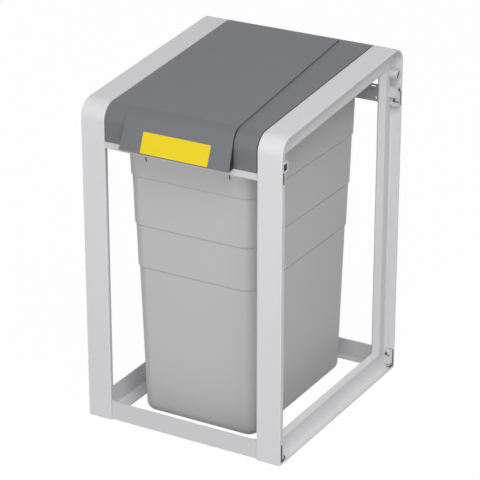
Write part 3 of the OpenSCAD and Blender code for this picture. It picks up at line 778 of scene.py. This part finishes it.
def complete(piece: Piece, edge: float, body: str, slot: str, material: Finish, *nodes: str,
             steps: int = 3) -> None:
    """Settles, welds, rounds and hands over a closed piece.

    Args:
        piece: The object.
        edge: Radius of its edges in metres, 0 where they are modelled.
        body: The CAD body that it rides on.
        slot: The record's material slot.
        material: Its material.
        *nodes: The CAD nodes that it stands for.
        steps: Segments of the rounding.
    """
    settle(piece)
    with editing(piece):
        weld()
    polish(piece, edge, steps)
    hand_over(piece, body, slot, material, *nodes)


@dataclass
class SideFrames:
    """Two loops: an outer band and a web that leans out to a ridge round the opening.

    Places across the frame are in metres from the station's middle, and depths run inwards from the band's
    outer face. The web swells a little, and along the floor a wide cove joins it to the band.
    """

    band: float = 0.044
    band_thick: float = 0.004
    edge: float = 0.0010
    inner_edge: float = 0.0006
    web: float = 0.163
    groove: float = 0.1659
    groove_fillet: float = 0.0035
    ridge: float = 0.1713
    ridge_depth: float = 0.0337
    ridge_r: float = 0.0011
    crest: float = 0.0008
    lip: float = 0.1645
    lip_r: float = 0.0003
    web_fillet: float = 0.003
    web_hold: float = 0.004
    swell: float = 0.0014
    swell_shares: tuple[float, ...] = (0.08, 0.2, 0.35, 0.5, 0.65, 0.8, 0.93)
    cove: float = 0.022
    cove_wide: float = 0.0126
    opening: float = 0.03
    opening_corner: float = 0.003
    least_corner: float = 0.0005
    foot_steps: int = 5
    top_steps: int = 16
    edge_steps: int = 4
    fine_steps: int = 2
    cove_steps: int = 10
    depths: tuple[float, float, float, float] = (0.042, 0.0415, 0.0465, 0.043)

    def section(self, side: Side) -> list[Flat]:
        """Section of one side as x and depth, once round.

        Args:
            side: The side of the loop.

        Returns:
            Points from the inner end of the outer face round to the same place.
        """
        out = OUTLINE.width / 2
        inside = out - self.band
        thick, e, f, low = self.band_thick, self.edge, self.inner_edge, self.depths[side.value]
        points = [(inside + e, 0.0), (inside + 2 * e, 0.0), (out - 2 * e, 0.0)]
        points += arc(out - e, e, e, -90, 0, self.edge_steps)
        points += arc(out - f, thick - f, f, 0, 90, self.fine_steps)
        lean = (self.ridge - self.groove) / (self.ridge_depth - thick / 2)
        run = math.hypot(1, lean)
        g = wide = self.groove_fillet
        swell = self.swell
        if side is Side.BOTTOM:
            g, wide, swell = self.cove, self.cove_wide, 0.0
        corner_x = self.groove + (thick / 2 + g * (1 + lean / run)) * lean + wide / run
        last = -180 - math.degrees(math.atan(lean))
        points += [(corner_x + wide * a, thick + g + g * b)
                   for a, b in arc(0, 0, 1, -90, last, self.cove_steps)]
        first = points[-1][1]
        for share in self.swell_shares:
            depth = first + (self.ridge_depth - first) * share
            bulge = swell * math.sin(math.pi * share)
            points.append((self.groove + (depth - thick / 2) * lean + bulge, depth))
        fall = (self.ridge - self.lip) / (low - self.ridge_depth - self.crest)
        rest = math.hypot(1, fall)
        past = fall * self.crest / (lean + fall)
        crease = (self.ridge + lean * past, self.ridge_depth + past)
        chamfer = (-fall / rest, 1 / rest)
        points += OUTLINE.corner(crease, (lean / run, 1 / run), chamfer, self.ridge_r, self.edge_steps)[1:-1]
        points += OUTLINE.corner((self.lip, low), chamfer, (-1, 0), self.lip_r, self.fine_steps)[1:-1]
        points += arc(self.web + f, low - f, f, 90, 180, self.fine_steps)
        points += [(self.web, low - self.web_hold)]
        g = self.web_fillet
        points += arc(self.web - g, thick + g, g, 0, -90, self.edge_steps)
        points += arc(inside + f, thick - f, f, 90, 180, self.fine_steps)
        points += arc(inside + e, e, e, 180, 270, self.edge_steps)[:-1]
        return points

    def rings(self) -> list[Ring]:
        """Loops of the frame, one for each point of the section.

        Returns:
            Rings in the order of the section.
        """
        sections = [self.section(side) for side in Side]
        rings = []
        for spots in zip(*sections):
            depths = [spot[1] for spot in spots]
            deep = max(depths)
            foot = max(OUTLINE.foot_corner - deep, self.least_corner)
            if deep > self.opening:
                foot = self.opening_corner
            rear = max(OUTLINE.rear_corner - max(depths[2:]), self.opening_corner)
            front = max(OUTLINE.front_corner - max(depths[0], depths[3]), self.opening_corner)
            steps = [self.foot_steps] * 2 + [self.top_steps] * 2
            corners = OUTLINE.corners(depths, [foot, foot, rear, front], steps)
            ring: Ring = []
            for k, corner in enumerate(corners):
                here, after = spots[k][0], spots[(k + 1) % 4][0]
                last = len(corner) - 1
                for i, (y, z) in enumerate(corner):
                    share = min(max((i - 1) / (last - 2), 0.0), 1.0)
                    ring.append((here + (after - here) * share, y, z))
            rings.append(ring)
        return rings

    def build(self, material: Finish) -> None:
        """Models the right frame and copies it to the left.

        Args:
            material: Finish of both frames.
        """
        right = draw_skin("side_loop_right", self.rings(), Ends.JOINED)
        left = mirrored(right)
        left.name = left.data.name = "side_loop_left"
        for piece, node in ((right, "side_frame_right"), (left, "side_frame_left")):
            complete(piece, 0, "frame", "frame_grey", material, node)


@dataclass
class Crossbars:
    """Four folded bars between the side frames."""

    edge: float = 0.0006
    names: tuple[str, ...] = ("lower_front", "upper_front", "lower_rear", "upper_rear")

    def build(self, frame: dict, material: Finish) -> None:
        """Rounds the folds and edges of the four bars of the CAD model."""
        for name in self.names:
            soften(frame, f"{name}_crossbar", f"{name}_bar", self.edge, "frame", "bar_grey", material)


@dataclass
class Cover:
    """Sheet cover with the throw-in opening, side skirts, hinge ears and the flap's trough."""

    half: float = 0.139
    thick: float = 0.003
    foot: float = 0.5054
    bar_top: float = 0.5204
    throat_half: float = 0.072
    throat_rear: float = 0.300
    skirt: float = 0.013
    hinge: Flat = (0.392, 0.571483)
    ear_thick: float = 0.006
    ear_r: float = 0.00805
    bush_r: float = 0.00455
    trough: Flat = (0.3858, 0.596038)
    trough_r: float = 0.0059
    trough_half: float = 0.07996
    channel_wall: float = 0.003
    channel_over: float = 0.01
    channel_steps: int = 20
    corner_steps: int = 16
    ear_shares: tuple[float, ...] = (0.2, 0.5, 0.8)
    mark_places: int = 5
    edge: float = 0.0008

    def mark(self, y: float, z: float) -> Flat:
        """A place of the side view, rounded so that it can be looked up."""
        return round(y, self.mark_places), round(z, self.mark_places)

    def sheet(self) -> Piece:
        """Models the bent sheet with its openings and walls.

        Returns:
            The open sheet with its skirts.
        """
        ahead, behind = self.trough[0] - self.trough_r, self.trough[0] + self.trough_r
        line, deep = (OUTLINE.top_line(depth, self.foot, self.hinge[1], self.corner_steps)
                      for depth in (0, self.skirt))
        line.insert(1, (0.0, self.bar_top))
        deep.insert(1, (self.skirt, self.bar_top))
        piece = draw_strip("cover_shell", line, lambda y: self.half)
        below = {self.mark(*spot): under for spot, under in zip(line, deep)}
        cuts = [((x, 0, 0), (1, 0, 0)) for x in (
            -self.trough_half, -self.throat_half, self.throat_half, self.trough_half)]
        cuts += [((0, y, 0), (0, 1, 0)) for y in (self.throat_rear, ahead, behind)]
        with editing(piece):
            for sign in (-1, 1):
                pull_edges(piece, lambda p: abs(p.x - sign * self.half) < NEAR,
                           lambda p: (p.x, *below[self.mark(p.y, p.z)]))
            for spot, way in cuts:
                bpy.ops.mesh.select_all(action="SELECT")
                bpy.ops.mesh.bisect(plane_co=spot, plane_no=way)
            for half, start, end in ((self.throat_half, 0.0, self.throat_rear),
                                     (self.trough_half, ahead, behind)):
                choose(piece, "FACE", lambda p: abs(p.x) < half + NEAR and p.z > self.bar_top - NEAR
                       and start - NEAR < p.y < end + NEAR)
                bpy.ops.mesh.delete(type="FACE")
            weld()
        return piece

    def channel(self) -> Piece:
        """Models the round trough below the flap's barrel.

        Returns:
            The trough as a closed piece with its top inside the sheet.
        """
        y0, z0 = self.trough
        wall = self.channel_wall
        parts = []
        for name, r, half, rise in (
                ("channel", self.trough_r + wall, self.trough_half + wall, -self.thick / 2),
                ("hollow", self.trough_r, self.trough_half, self.channel_over)):
            side = [(y0 - r, OUTLINE.raised(y0 - r, rise)), *arc(y0, z0, r, 180, 360, self.channel_steps),
                    (y0 + r, OUTLINE.raised(y0 + r, rise))]
            parts.append(prism(name, side, (-half, half)))
        cut(*parts)
        return parts[0]

    def ear(self, hand: Hand) -> Piece:
        """Models one hinge ear with the hole for its bush.

        Args:
            hand: The side of the station.

        Returns:
            The ear as a closed piece.
        """
        y0, z0 = self.hinge
        r = self.ear_r
        rise = OUTLINE.rear_corner - self.thick / 2
        shape = arc(0, 0, r, 180, 360, self.corner_steps)
        shape += [(r, rise * share) for share in (*self.ear_shares, 1)] + [(0.0, rise)]
        shape += [(-r, rise * share) for share in (1, *self.ear_shares[::-1])]
        turns = [math.atan2(z, y) for y, z in shape]
        hole = [(self.bush_r * math.cos(turn), self.bush_r * math.sin(turn)) for turn in turns]
        far, near = hand.value * self.half, hand.value * (self.half - self.ear_thick)
        rings = [[(x, y0 + y, z0 + z) for y, z in points]
                 for x, points in ((near, shape), (far, shape), (far, hole), (near, hole))]
        return draw_skin(f"ear_{hand.name.lower()}", rings, Ends.JOINED)

    def build(self, material: Finish) -> None:
        """Models the cover and joins its parts.

        Args:
            material: Finish of the cover.
        """
        piece = self.sheet()
        finish_with(piece, "SOLIDIFY", thickness=self.thick, offset=-1, use_even_offset=True)
        piece = joined([piece, self.channel(), *(self.ear(hand) for hand in Hand)])
        complete(piece, self.edge, "cover", "cover_grey", material, "top_cover")


@dataclass
class Flap:
    """Throw-in flap: a sheet over the top that bends down in front, with a label plate on its face.

    A cheek on each side closes the gap to the cover in front, and carries a black strip of painted shade
    that stands for the shadow in that gap; it starts and ends by shares of the sheet's thickness.
    """

    rise: float = 0.0025
    gap: float = 0.0004
    half_front: float = 0.0983
    half_rear: float = 0.079
    half_lip: float = 0.1014
    rear: float = 0.3913
    bend: float = 0.0056
    bend_r: float = 0.025
    tilt: float = math.radians(22.4)
    lip_z: float = 0.5056
    thick: float = 0.0021
    barrel: float = 0.0055
    barrel_turn: float = 230.0
    barrel_steps: int = 22
    bend_steps: int = 18
    face_shares: tuple[float, ...] = (0.25, 0.5, 0.75)
    edge: float = 0.0009
    label_wide: float = 0.124
    label_high: float = 0.0346
    label_thick: float = 0.0012
    label_proud: float = 0.0003
    label_up: float = 0.0017
    label_frame: float = 0.0008
    label_step: float = 0.0003
    label_dip: float = 0.0001
    label_edge: float = 0.0003
    cheek_rear: float = 0.018
    # The black strip of painted shade on each cheek: how far it stands out, its rounding, and where it starts
    # and ends
    gap_shade_proud: float = 0.0003
    gap_shade_edge: float = 0.0001
    gap_shade_start: float = 0.8
    gap_shade_least: float = 1.5

    @property
    def lip_y(self) -> float:
        """Place of the lower edge in front of the front plane."""
        return self.bend - (OUTLINE.raised(self.bend, self.rise) - self.lip_z) * math.tan(self.tilt)

    @property
    def axis(self) -> Flat:
        """Axis of the barrel."""
        y = self.rear - self.barrel
        return y, OUTLINE.raised(y, self.rise - self.barrel)

    def half(self, y: float) -> float:
        """Half width of the flap at a place.

        Args:
            y: The place.

        Returns:
            The half width.
        """
        if y < 0:
            return self.half_front + (self.half_lip - self.half_front) * y / self.lip_y
        return self.half_front + (self.half_rear - self.half_front) * min(y / self.rear, 1)

    def side_view(self) -> list[Flat]:
        """Side view of the sheet from the lip over the bend to the barrel.

        Returns:
            Points in y and z.
        """
        spot = (self.bend, OUTLINE.raised(self.bend, self.rise))
        ahead = (-math.cos(OUTLINE.slope), -math.sin(OUTLINE.slope))
        down = (-math.sin(self.tilt), -math.cos(self.tilt))
        before, *bend = OUTLINE.corner(spot, ahead, down, self.bend_r, self.bend_steps)[::-1]
        y, z = self.lip_y, self.lip_z
        face = [(y + (before[0] - y) * share, z + (before[1] - z) * share)
                for share in (0, *self.face_shares)]
        top = 90 + math.degrees(OUTLINE.slope)
        barrel = arc(*self.axis, self.barrel, top, top - self.barrel_turn, self.barrel_steps)
        return [*face, before, *bend, *barrel]

    def cheek_foot(self, y: float, z: float) -> Flat:
        """Place on the cover's outline, a gap away from it, that lies under a point of the flap.

        Args:
            y: Place of the point.
            z: Height of the point.

        Returns:
            The place in y and z.
        """
        r = OUTLINE.front_corner
        centre = (r, OUTLINE.raised(r, -r))
        if z <= centre[1]:
            return -self.gap, z
        way = Vector((y - centre[0], z - centre[1])).normalized()
        return centre[0] + way.x * (r + self.gap), centre[1] + way.y * (r + self.gap)

    def cheek_edge(self, sign: int, spot: Vector) -> Point:
        """Place of a cheek's edge next to the cover, under a point of the sheet."""
        y, z = self.cheek_foot(spot.y, spot.z)
        return sign * self.half(y), y, z

    def sheet(self) -> Piece:
        """Models the bent sheet with the two cheeks in front.

        Returns:
            The flap before its place is settled.
        """
        piece = draw_strip("flap_shell", self.side_view(), self.half)
        with editing(piece):
            for sign in (-1, 1):
                pull_edges(piece, lambda p: p.x * sign > 0 and p.y < self.cheek_rear,
                           lambda p: self.cheek_edge(sign, p))
        finish_with(piece, "SOLIDIFY", thickness=self.thick, offset=-1, use_even_offset=True)
        return piece

    def gap_shade(self, hand: Hand, material: Finish) -> None:
        """Models a black strip of painted shade on one cheek, behind the sheet's edge, standing for the
        shadow in the gap to the cover.

        Args:
            hand: The side of the flap.
            material: The black finish of the painted shade.
        """
        outer, inner = [], []
        for y, z in self.side_view():
            foot_y, foot_z = self.cheek_foot(y, z)
            reach = math.hypot(foot_y - y, foot_z - z)
            if y < self.cheek_rear and reach > self.gap_shade_least * self.thick:
                share = self.gap_shade_start * self.thick / reach
                outer.append((y + (foot_y - y) * share, z + (foot_z - z) * share))
                inner.append((foot_y, foot_z))
        rings = [[(hand.value * (self.half(y) + rise), y, z) for y, z in outer + inner[::-1]]
                 for rise in (-self.gap_shade_proud, self.gap_shade_proud)]
        # A black strip painted on the cheek as the shade of the gap between flap and cover
        piece = draw_skin(f"flap_gap_shade_{hand.name.lower()}", rings, Ends.FILLED)
        complete(piece, self.gap_shade_edge, "flap", "buffer_black", material, steps=2)

    def label(self, material: Finish) -> None:
        """Models the plain label plate on the flap's face.

        Args:
            material: Finish of the plate.
        """
        plate = start_piece("label_plate_face", bpy.ops.mesh.primitive_cube_add, size=1.0,
                            scale=(self.label_wide, self.label_thick, self.label_high))
        bpy.ops.object.transform_apply(location=False, rotation=False, scale=True)
        with editing(plate, "FACE"):
            choose(plate, "FACE", lambda p: p.y < 0)
            bpy.ops.mesh.inset(thickness=self.label_frame, depth=0.0)
            bpy.ops.mesh.inset(thickness=self.label_step, depth=-self.label_dip)
        up, back = self.label_up + self.label_high / 2, self.label_thick / 2 - self.label_proud
        s, c = math.sin(self.tilt), math.cos(self.tilt)
        plate.rotation_euler = (-self.tilt, 0, 0)
        plate.location = (0, self.lip_y + up * s + back * c, self.lip_z + up * c - back * s)
        pick(plate)
        bpy.ops.object.transform_apply(location=True, rotation=True, scale=True)
        complete(plate, self.label_edge, "flap", "label_yellow", material, "label_plate", steps=2)

    def build(self, material: Finish, label: Finish, gap_shade: Finish) -> None:
        """Models the flap, the strips of painted shade on its cheeks, and its label plate.

        Args:
            material: Finish of the flap.
            label: Finish of the plate.
            gap_shade: The black finish of the painted shade on the cheeks.
        """
        complete(self.sheet(), self.edge, "flap", "cover_grey", material, "flap")
        for hand in Hand:
            self.gap_shade(hand, gap_shade)
        self.label(label)


@dataclass
class Bin:
    """Tapered bin with three steps in its wall, a sloping rim and two slits in front.

    A step is drawn as heights above its foot, each with the share of the step that the wall is out there.
    The rim's root is drawn as growths of the wall with heights below the rim, and its mouth as shares of the
    wall's thickness with heights from the rim's top.
    """

    low: float = 0.006
    floor_half: float = 0.109
    mouth_half: float = 0.1188
    floor_front: float = 0.049
    mouth_front: float = 0.023
    floor_rear: float = 0.3645
    mouth_rear: float = 0.393
    corner: float = 0.022
    corner_steps: int = 12
    least_corner: float = 0.002
    base_r: float = 0.016
    base_steps: int = 7
    wall: float = 0.0025
    step: float = 0.0015
    step_heights: tuple[float, float, float] = (0.280, 0.357, 0.444)
    outer_step: tuple[Flat, ...] = (
        (-0.006, 0.0), (-0.0016, 0.0), (-0.0012, -0.12), (-0.0009, -0.5), (0.0001, -0.5), (0.0003, 0.1),
        (0.0006, 0.7), (0.0010, 0.95), (0.0015, 1.0), (0.008, 1.0))
    inner_step: tuple[Flat, ...] = ((0.0, 0.0), (0.0015, 1.0))
    rim_root: tuple[Flat, ...] = ((0.0, -0.002), (0.0006, -0.0005))
    rim_mouth: tuple[Flat, ...] = ((-0.4, 0.0), (0.6, -0.0006), (1.0, -0.002))
    rim_front: float = 0.4967
    rim_rear: float = 0.5253
    rim_thick: float = 0.0033
    rim_wide: float = 0.016
    rim_side: float = 0.006
    rim_r: float = 0.0012
    rim_soft: float = 0.3
    slit_x: float = 0.0778
    slit_low: float = 0.4737
    slit_high: float = 0.010
    slit_wide: float = 0.0025
    slit_in: float = 0.002
    slit_reach: float = 0.02
    slit_sides: int = 16

    def plan(self, half: float, front: float, rear: float, r: float) -> list[Flat]:
        """Plan of the bin as a closed ring.

        Args:
            half: Half width.
            front: Place of the front.
            rear: Place of the rear.
            r: Corner radius.

        Returns:
            Points in x and y, from the front right corner.
        """
        spots = ((half - r, front + r, -90), (half - r, rear - r, 0), (r - half, rear - r, 90),
                 (r - half, front + r, 180))
        return [point for x, y, start in spots
                for point in arc(x, y, r, start, start + 90, self.corner_steps)]

    def wall_plan(self, z: float, steps: float, grow: float) -> list[Flat]:
        """Plan of the wall at a height.

        Args:
            z: The height.
            steps: Number of steps below it.
            grow: Distance by which the wall is moved outwards.

        Returns:
            Points in x and y.
        """
        share = (z - self.low) / (self.rim_rear - self.low)
        out = (steps - len(self.step_heights) * share) * self.step + grow
        return self.plan(
            self.floor_half + (self.mouth_half - self.floor_half) * share + out,
            self.floor_front + (self.mouth_front - self.floor_front) * share - out,
            self.floor_rear + (self.mouth_rear - self.floor_rear) * share + out,
            max(self.corner + grow, self.least_corner))

    def rim_z(self, y: float) -> float:
        """Height of the rim's underside at a y."""
        share = (y - self.mouth_front) / (self.mouth_rear - self.mouth_front)
        return self.rim_front + (self.rim_rear - self.rim_front) * min(max(share, 0), 1)

    def base(self, inset: float) -> list[Ring]:
        """Rings of the rounded lower edge of a wall.

        Args:
            inset: How far the wall stands in from the outside.

        Returns:
            Rings from the flat floor up to the wall.
        """
        rings = []
        r = self.base_r - inset
        for i in range(self.base_steps + 1):
            a = math.pi / 2 * i / self.base_steps
            z = self.low + inset + r - r * math.cos(a)
            plan = self.wall_plan(self.low + inset, 0, -inset - r + r * math.sin(a))
            rings.append([(x, y, z) for x, y in plan])
        return rings

    def stepped(self, grow: float, soft: Sequence[Flat]) -> list[Ring]:
        """Rings of a wall between the lower edge and the rim, with its steps.

        Args:
            grow: Distance of the wall from the outer one.
            soft: How far a step is out at some heights above its foot.

        Returns:
            Rings from the lowest step to the highest.
        """
        rings = []
        for count, foot in enumerate(self.step_heights):
            for rise, share in soft:
                z = foot + rise
                rings.append([(x, y, z) for x, y in self.wall_plan(z, count + share, grow)])
        return rings

    def on_rim(self, plan: list[Flat], rise: float) -> Ring:
        """Lays a plan on the sloping rim."""
        return [(x, y, self.rim_z(y) + rise) for x, y in plan]

    def lip(self, inset: float, rise: float) -> Ring:
        """Lays one ring of the rim's edge.

        Args:
            inset: How far it stands in from the rim's end.
            rise: Its height above the rim's underside.

        Returns:
            The ring.
        """
        return self.on_rim(self.plan(
            self.mouth_half + self.rim_side - inset, self.mouth_front - self.rim_wide + inset,
            self.mouth_rear + self.rim_wide - inset, self.corner - inset), rise)

    def mouth(self, grow: float, rise: float) -> Ring:
        """One ring of the wall where it meets the rim."""
        return self.on_rim(self.wall_plan(self.rim_rear, len(self.step_heights), grow), rise)

    def rings(self) -> list[Ring]:
        """Lists the rings of the bin.

        Returns:
            Rings from its underside over the rim to its inner floor.
        """
        thick, r = self.rim_thick, self.rim_r
        soft = r * self.rim_soft
        root = [self.mouth(grow, rise) for grow, rise in self.rim_root]
        edge = [self.lip(inset, rise) for inset, rise in (
            (r, 0), (soft, soft), (0, r), (0, thick - r), (soft, thick - soft), (r, thick))]
        mouth = [self.mouth(-share * self.wall, thick + rise) for share, rise in self.rim_mouth]
        return [*self.base(0), *self.stepped(0, self.outer_step), *root, *edge, *mouth,
                *self.stepped(-self.wall, self.inner_step)[::-1], *self.base(self.wall)[::-1]]

    def build(self, material: Finish) -> None:
        """Models the bin and cuts its slits.

        Args:
            material: Finish of the bin.
        """
        piece = draw_skin("bin_body", self.rings(), Ends.FILLED)
        for hand in Hand:
            cutter = start_piece(
                "slit", bpy.ops.mesh.primitive_cylinder_add, vertices=self.slit_sides,
                radius=self.slit_wide / 2, depth=self.slit_reach, rotation=(math.pi / 2, 0, 0),
                location=(hand.value * self.slit_x, self.mouth_front + self.slit_in,
                          self.slit_low + self.slit_wide / 2))
            with editing(cutter):
                choose(cutter, "VERT", lambda p: p.y > NEAR)
                bpy.ops.transform.translate(value=(0, 0, self.slit_high - self.slit_wide))
            cut(piece, cutter)
        complete(piece, 0, "bin", "bin_grey", material, "bin")


@dataclass
class Fittings:
    """Clips, lock pins, hinge brackets, pins, bushes, screws and buffers."""

    edge: float = 0.0004
    clips: tuple[str, ...] = ("rear_upper_clip", "front_upper_clip", "front_lower_clip", "rear_lower_clip")

    def build(self, frame: dict, clip: Finish, steel: Finish, bush: Finish, buffer: Finish) -> None:
        """Softens the moulded fittings and dresses the metal ones.

        Args:
            clip: Finish of the clips and lock pins.
            steel: Finish of the metal fittings.
            bush: Finish of the hinge bushes.
            buffer: Finish of the buffers.
        """
        for hand in ("left", "right"):
            homes = {f"{name}_{hand}": "frame" for name in self.clips}
            homes[f"lock_pin_{hand}"] = f"lock_{hand}"
            for node, body in homes.items():
                soften(frame, node, f"{node}_moulding", self.edge, body, "connector_grey", clip)
        soft = {"bush": bush, "buffer": buffer}
        for node, piece in frame["nodes"].items():
            if piece.hide_render:
                continue
            finish = next((made for word, made in soft.items() if word in node), steel)
            dress(piece, finish)
            LOG.info("%s: kept from the CAD model, dressed with %s", node, finish.name)


@dataclass
class ShadeBlocks:
    """Black blocks of painted shade that fill the deep notches and slits of the clips and the slots of the
    lock pins, where there is only shadow.

    Blocks, the three-cornered block and the slot are given by two corners, the slot's from its pin's axis.
    """

    blocks: tuple[tuple[Point, Point], ...] = (
        ((0.1765, 0.0068, 0.5139), (0.1832, 0.0187, 0.5256)),
        ((0.1720, 0.0042, 0.4930), (0.1849, 0.0080, 0.5113)),
        ((0.1757, 0.0042, 0.0054), (0.1849, 0.0082, 0.0360)),
        ((0.1787, 0.0080, 0.0056), (0.1849, 0.0162, 0.0083)),
        ((0.1787, 0.0158, 0.0064), (0.1849, 0.0187, 0.0130)),
        ((0.1757, 0.4135, 0.4947), (0.1849, 0.4158, 0.5203)),
        ((0.1749, 0.4061, 0.5021), (0.1843, 0.4098, 0.5039)),
        ((0.1749, 0.4061, 0.5033), (0.1782, 0.4098, 0.5084)),
        ((0.1757, 0.4130, 0.0054), (0.1849, 0.4158, 0.0360)),
        ((0.1716, 0.4101, 0.0243), (0.1793, 0.4138, 0.0261)),
        ((0.1716, 0.4101, 0.0255), (0.1747, 0.4138, 0.0306)),
        ((0.1787, 0.4014, 0.0056), (0.1849, 0.4132, 0.0083)),
        ((0.1787, 0.4014, 0.0101), (0.1844, 0.4099, 0.0115)))
    corner: tuple[Point, Point] = ((0.1807, 0.4035, 0.5184), (0.1844, 0.4121, 0.5271))
    slot: tuple[Point, Point] = ((0.1802, -0.0020, -0.0061), (0.1832, 0.0020, 0.0061))
    pin: Flat = (0.406, 0.551983)
    lean: float = math.radians(-32)
    edge: float = 0.0002

    def block(self, low: Point, high: Point) -> Piece:
        """Models one block between two corners.

        Args:
            low: Its lowest corner.
            high: Its highest corner.

        Returns:
            The block.
        """
        middle = [(a + b) / 2 for a, b in zip(low, high)]
        size = [b - a for a, b in zip(low, high)]
        piece = start_piece("shade_block", bpy.ops.mesh.primitive_cube_add, size=1.0, location=middle, scale=size)
        bpy.ops.object.transform_apply(location=True, rotation=True, scale=True)
        return piece

    def wedge(self) -> Piece:
        """Models the three-cornered block of painted shade in the upper rear clip."""
        (x0, y0, z0), (x1, y1, z1) = self.corner
        return prism("shade_block", [(y1, z1), (y0, z1), (y1, z0)], (x0, x1))

    def lock_slot_shade(self) -> Piece:
        """Models the block of painted shade in the leaning slot of a lock pin.

        Returns:
            The block.
        """
        (x0, y0, z0), (x1, y1, z1) = self.slot
        c, s = math.cos(self.lean), math.sin(self.lean)
        side = [(self.pin[0] + y * c - z * s, self.pin[1] + y * s + z * c)
                for y, z in ((y0, z0), (y1, z0), (y1, z1), (y0, z1))]
        return prism("slot_shade", side, (x0, x1))

    def build(self, material: Finish) -> None:
        """Models the blocks of painted shade of the right side and copies them to the left.

        Args:
            material: The black finish of the painted shade.
        """
        slot_shade = self.lock_slot_shade()
        parts = [*(self.block(*spots) for spots in self.blocks), self.wedge()]
        for part in (slot_shade, *parts):
            polish(part, self.edge, 2)
        # Black blocks painted in as the shade of deep notches, slits and slots
        for right, name, left_body, right_body in (
                (joined(parts), "clip_painted_shade", "frame", "frame"),
                (slot_shade, "lock_slot_shade", "lock_left", "lock_right")):
            for piece, hand, body in ((mirrored(right), "left", left_body), (right, "right", right_body)):
                piece.name = piece.data.name = f"{name}_{hand}"
                complete(piece, 0, body, "buffer_black", material)


@dataclass(frozen=True)
class Lamp:
    """One soft square lamp: where it hangs, the length of its side and its power in watts."""

    name: str
    place: Point
    size: float
    power: float


@dataclass
class Studio:
    """Floor, soft lamps, world and camera."""

    floor_size: float = 14.0
    floor_waves: float = 1.5
    floor_greys: Flat = (0.59, 0.61)
    floor_white: float = 0.98
    sky: float = 0.176
    eye: Point = (1.74502, -3.05247, 1.80781)
    target: Point = (-0.00295, -0.00239, 0.28838)
    lens: float = 170.35
    sensor: float = 36.0
    lit: Point = (0.0, 0.0, 0.3)
    lamps: tuple[Lamp, ...] = (
        Lamp("key_lamp", (1.6, -1.7, 3.1), 2.2, 82),
        Lamp("front_lamp", (0.2, -3.6, 1.3), 2.0, 48),
        Lamp("right_lamp", (3.5, -0.6, 0.9), 1.6, 12),
        Lamp("left_lamp", (-3.3, 0.7, 1.2), 2.0, 24),
        Lamp("rear_lamp", (0.9, 3.6, 1.0), 2.0, 22))

    def floor(self) -> None:
        """Lays the pale floor, which keeps the object's shadow."""
        floor = start_piece("studio_floor", bpy.ops.mesh.primitive_plane_add, size=self.floor_size)
        desk = Desk(bpy.data.materials.new("floor_paper"))
        low, high = ((grey,) * 3 for grey in self.floor_greys)
        colour = desk.tint(desk.noise(self.floor_waves), low, high)
        paper = desk.node("ShaderNodeBsdfDiffuse", {}, {"Color": colour})
        glow = desk.node("ShaderNodeEmission", {}, {"Color": WHITE, "Strength": 1.0})
        white = desk.seen("Camera", "Glossy", "Transmission") * self.floor_white
        mix = desk.node("ShaderNodeMixShader", {}, {
            0: white, 1: paper.outputs["BSDF"], 2: glow.outputs["Emission"]})
        desk.node("ShaderNodeOutputMaterial", {}, {"Surface": mix.outputs["Shader"]})
        dress(floor, desk.owner)

    def world(self) -> None:
        """Lights the room evenly and shows white to the camera."""
        bpy.context.scene.world = bpy.data.worlds.new("room")
        desk = Desk(bpy.context.scene.world)
        strength = desk.seen("Camera", "Glossy") * (1 - self.sky) + self.sky
        back = desk.node("ShaderNodeBackground", {}, {"Color": WHITE, "Strength": strength})
        desk.node("ShaderNodeOutputWorld", {}, {"Surface": back.outputs["Background"]})

    def hang(self, data: bpy.types.ID, place: Point, aim: Point) -> Piece:
        """Puts up a lamp or a camera.

        Args:
            data: The lamp's or the camera's data.
            place: Where it hangs.
            aim: The point that it faces.

        Returns:
            The new object.
        """
        thing = bpy.data.objects.new(data.name, data)
        thing.location = place
        thing.rotation_euler = (Vector(aim) - Vector(place)).to_track_quat("-Z", "Y").to_euler()
        bpy.context.scene.collection.objects.link(thing)
        return thing

    def build(self) -> None:
        """Sets up the whole studio."""
        bpy.context.scene.view_settings.view_transform = "Standard"
        self.floor()
        self.world()
        for lamp in self.lamps:
            light = bpy.data.lights.new(lamp.name, "AREA")
            light.shape = "SQUARE"
            light.size = lamp.size
            light.energy = lamp.power
            self.hang(light, lamp.place, self.lit)
        camera = bpy.data.cameras.new("view")
        camera.lens = self.lens
        camera.sensor_width = self.sensor
        bpy.context.scene.camera = self.hang(camera, self.eye, self.target)


def main() -> None:
    """Builds the station's looks in order."""
    logging.basicConfig(level=logging.INFO, format="%(message)s")
    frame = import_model()
    finishes = Finishes()
    cover_grain = finishes.cover.make()
    SideFrames().build(finishes.frame.make())
    Crossbars().build(frame, finishes.bars.make())
    Cover().build(cover_grain)
    # Black for the painted shade on the flap's cheeks and in the clips and lock pins
    black = finishes.shade_block.make()
    Flap().build(cover_grain, finishes.label.make(), black)
    Bin().build(finishes.bin.make())
    Fittings().build(frame, finishes.clips.make(), finishes.steel.make(), finishes.bush.make(),
                     finishes.buffer.make())
    ShadeBlocks().build(black)
    Studio().build()


if __name__ == "__main__":
    main()
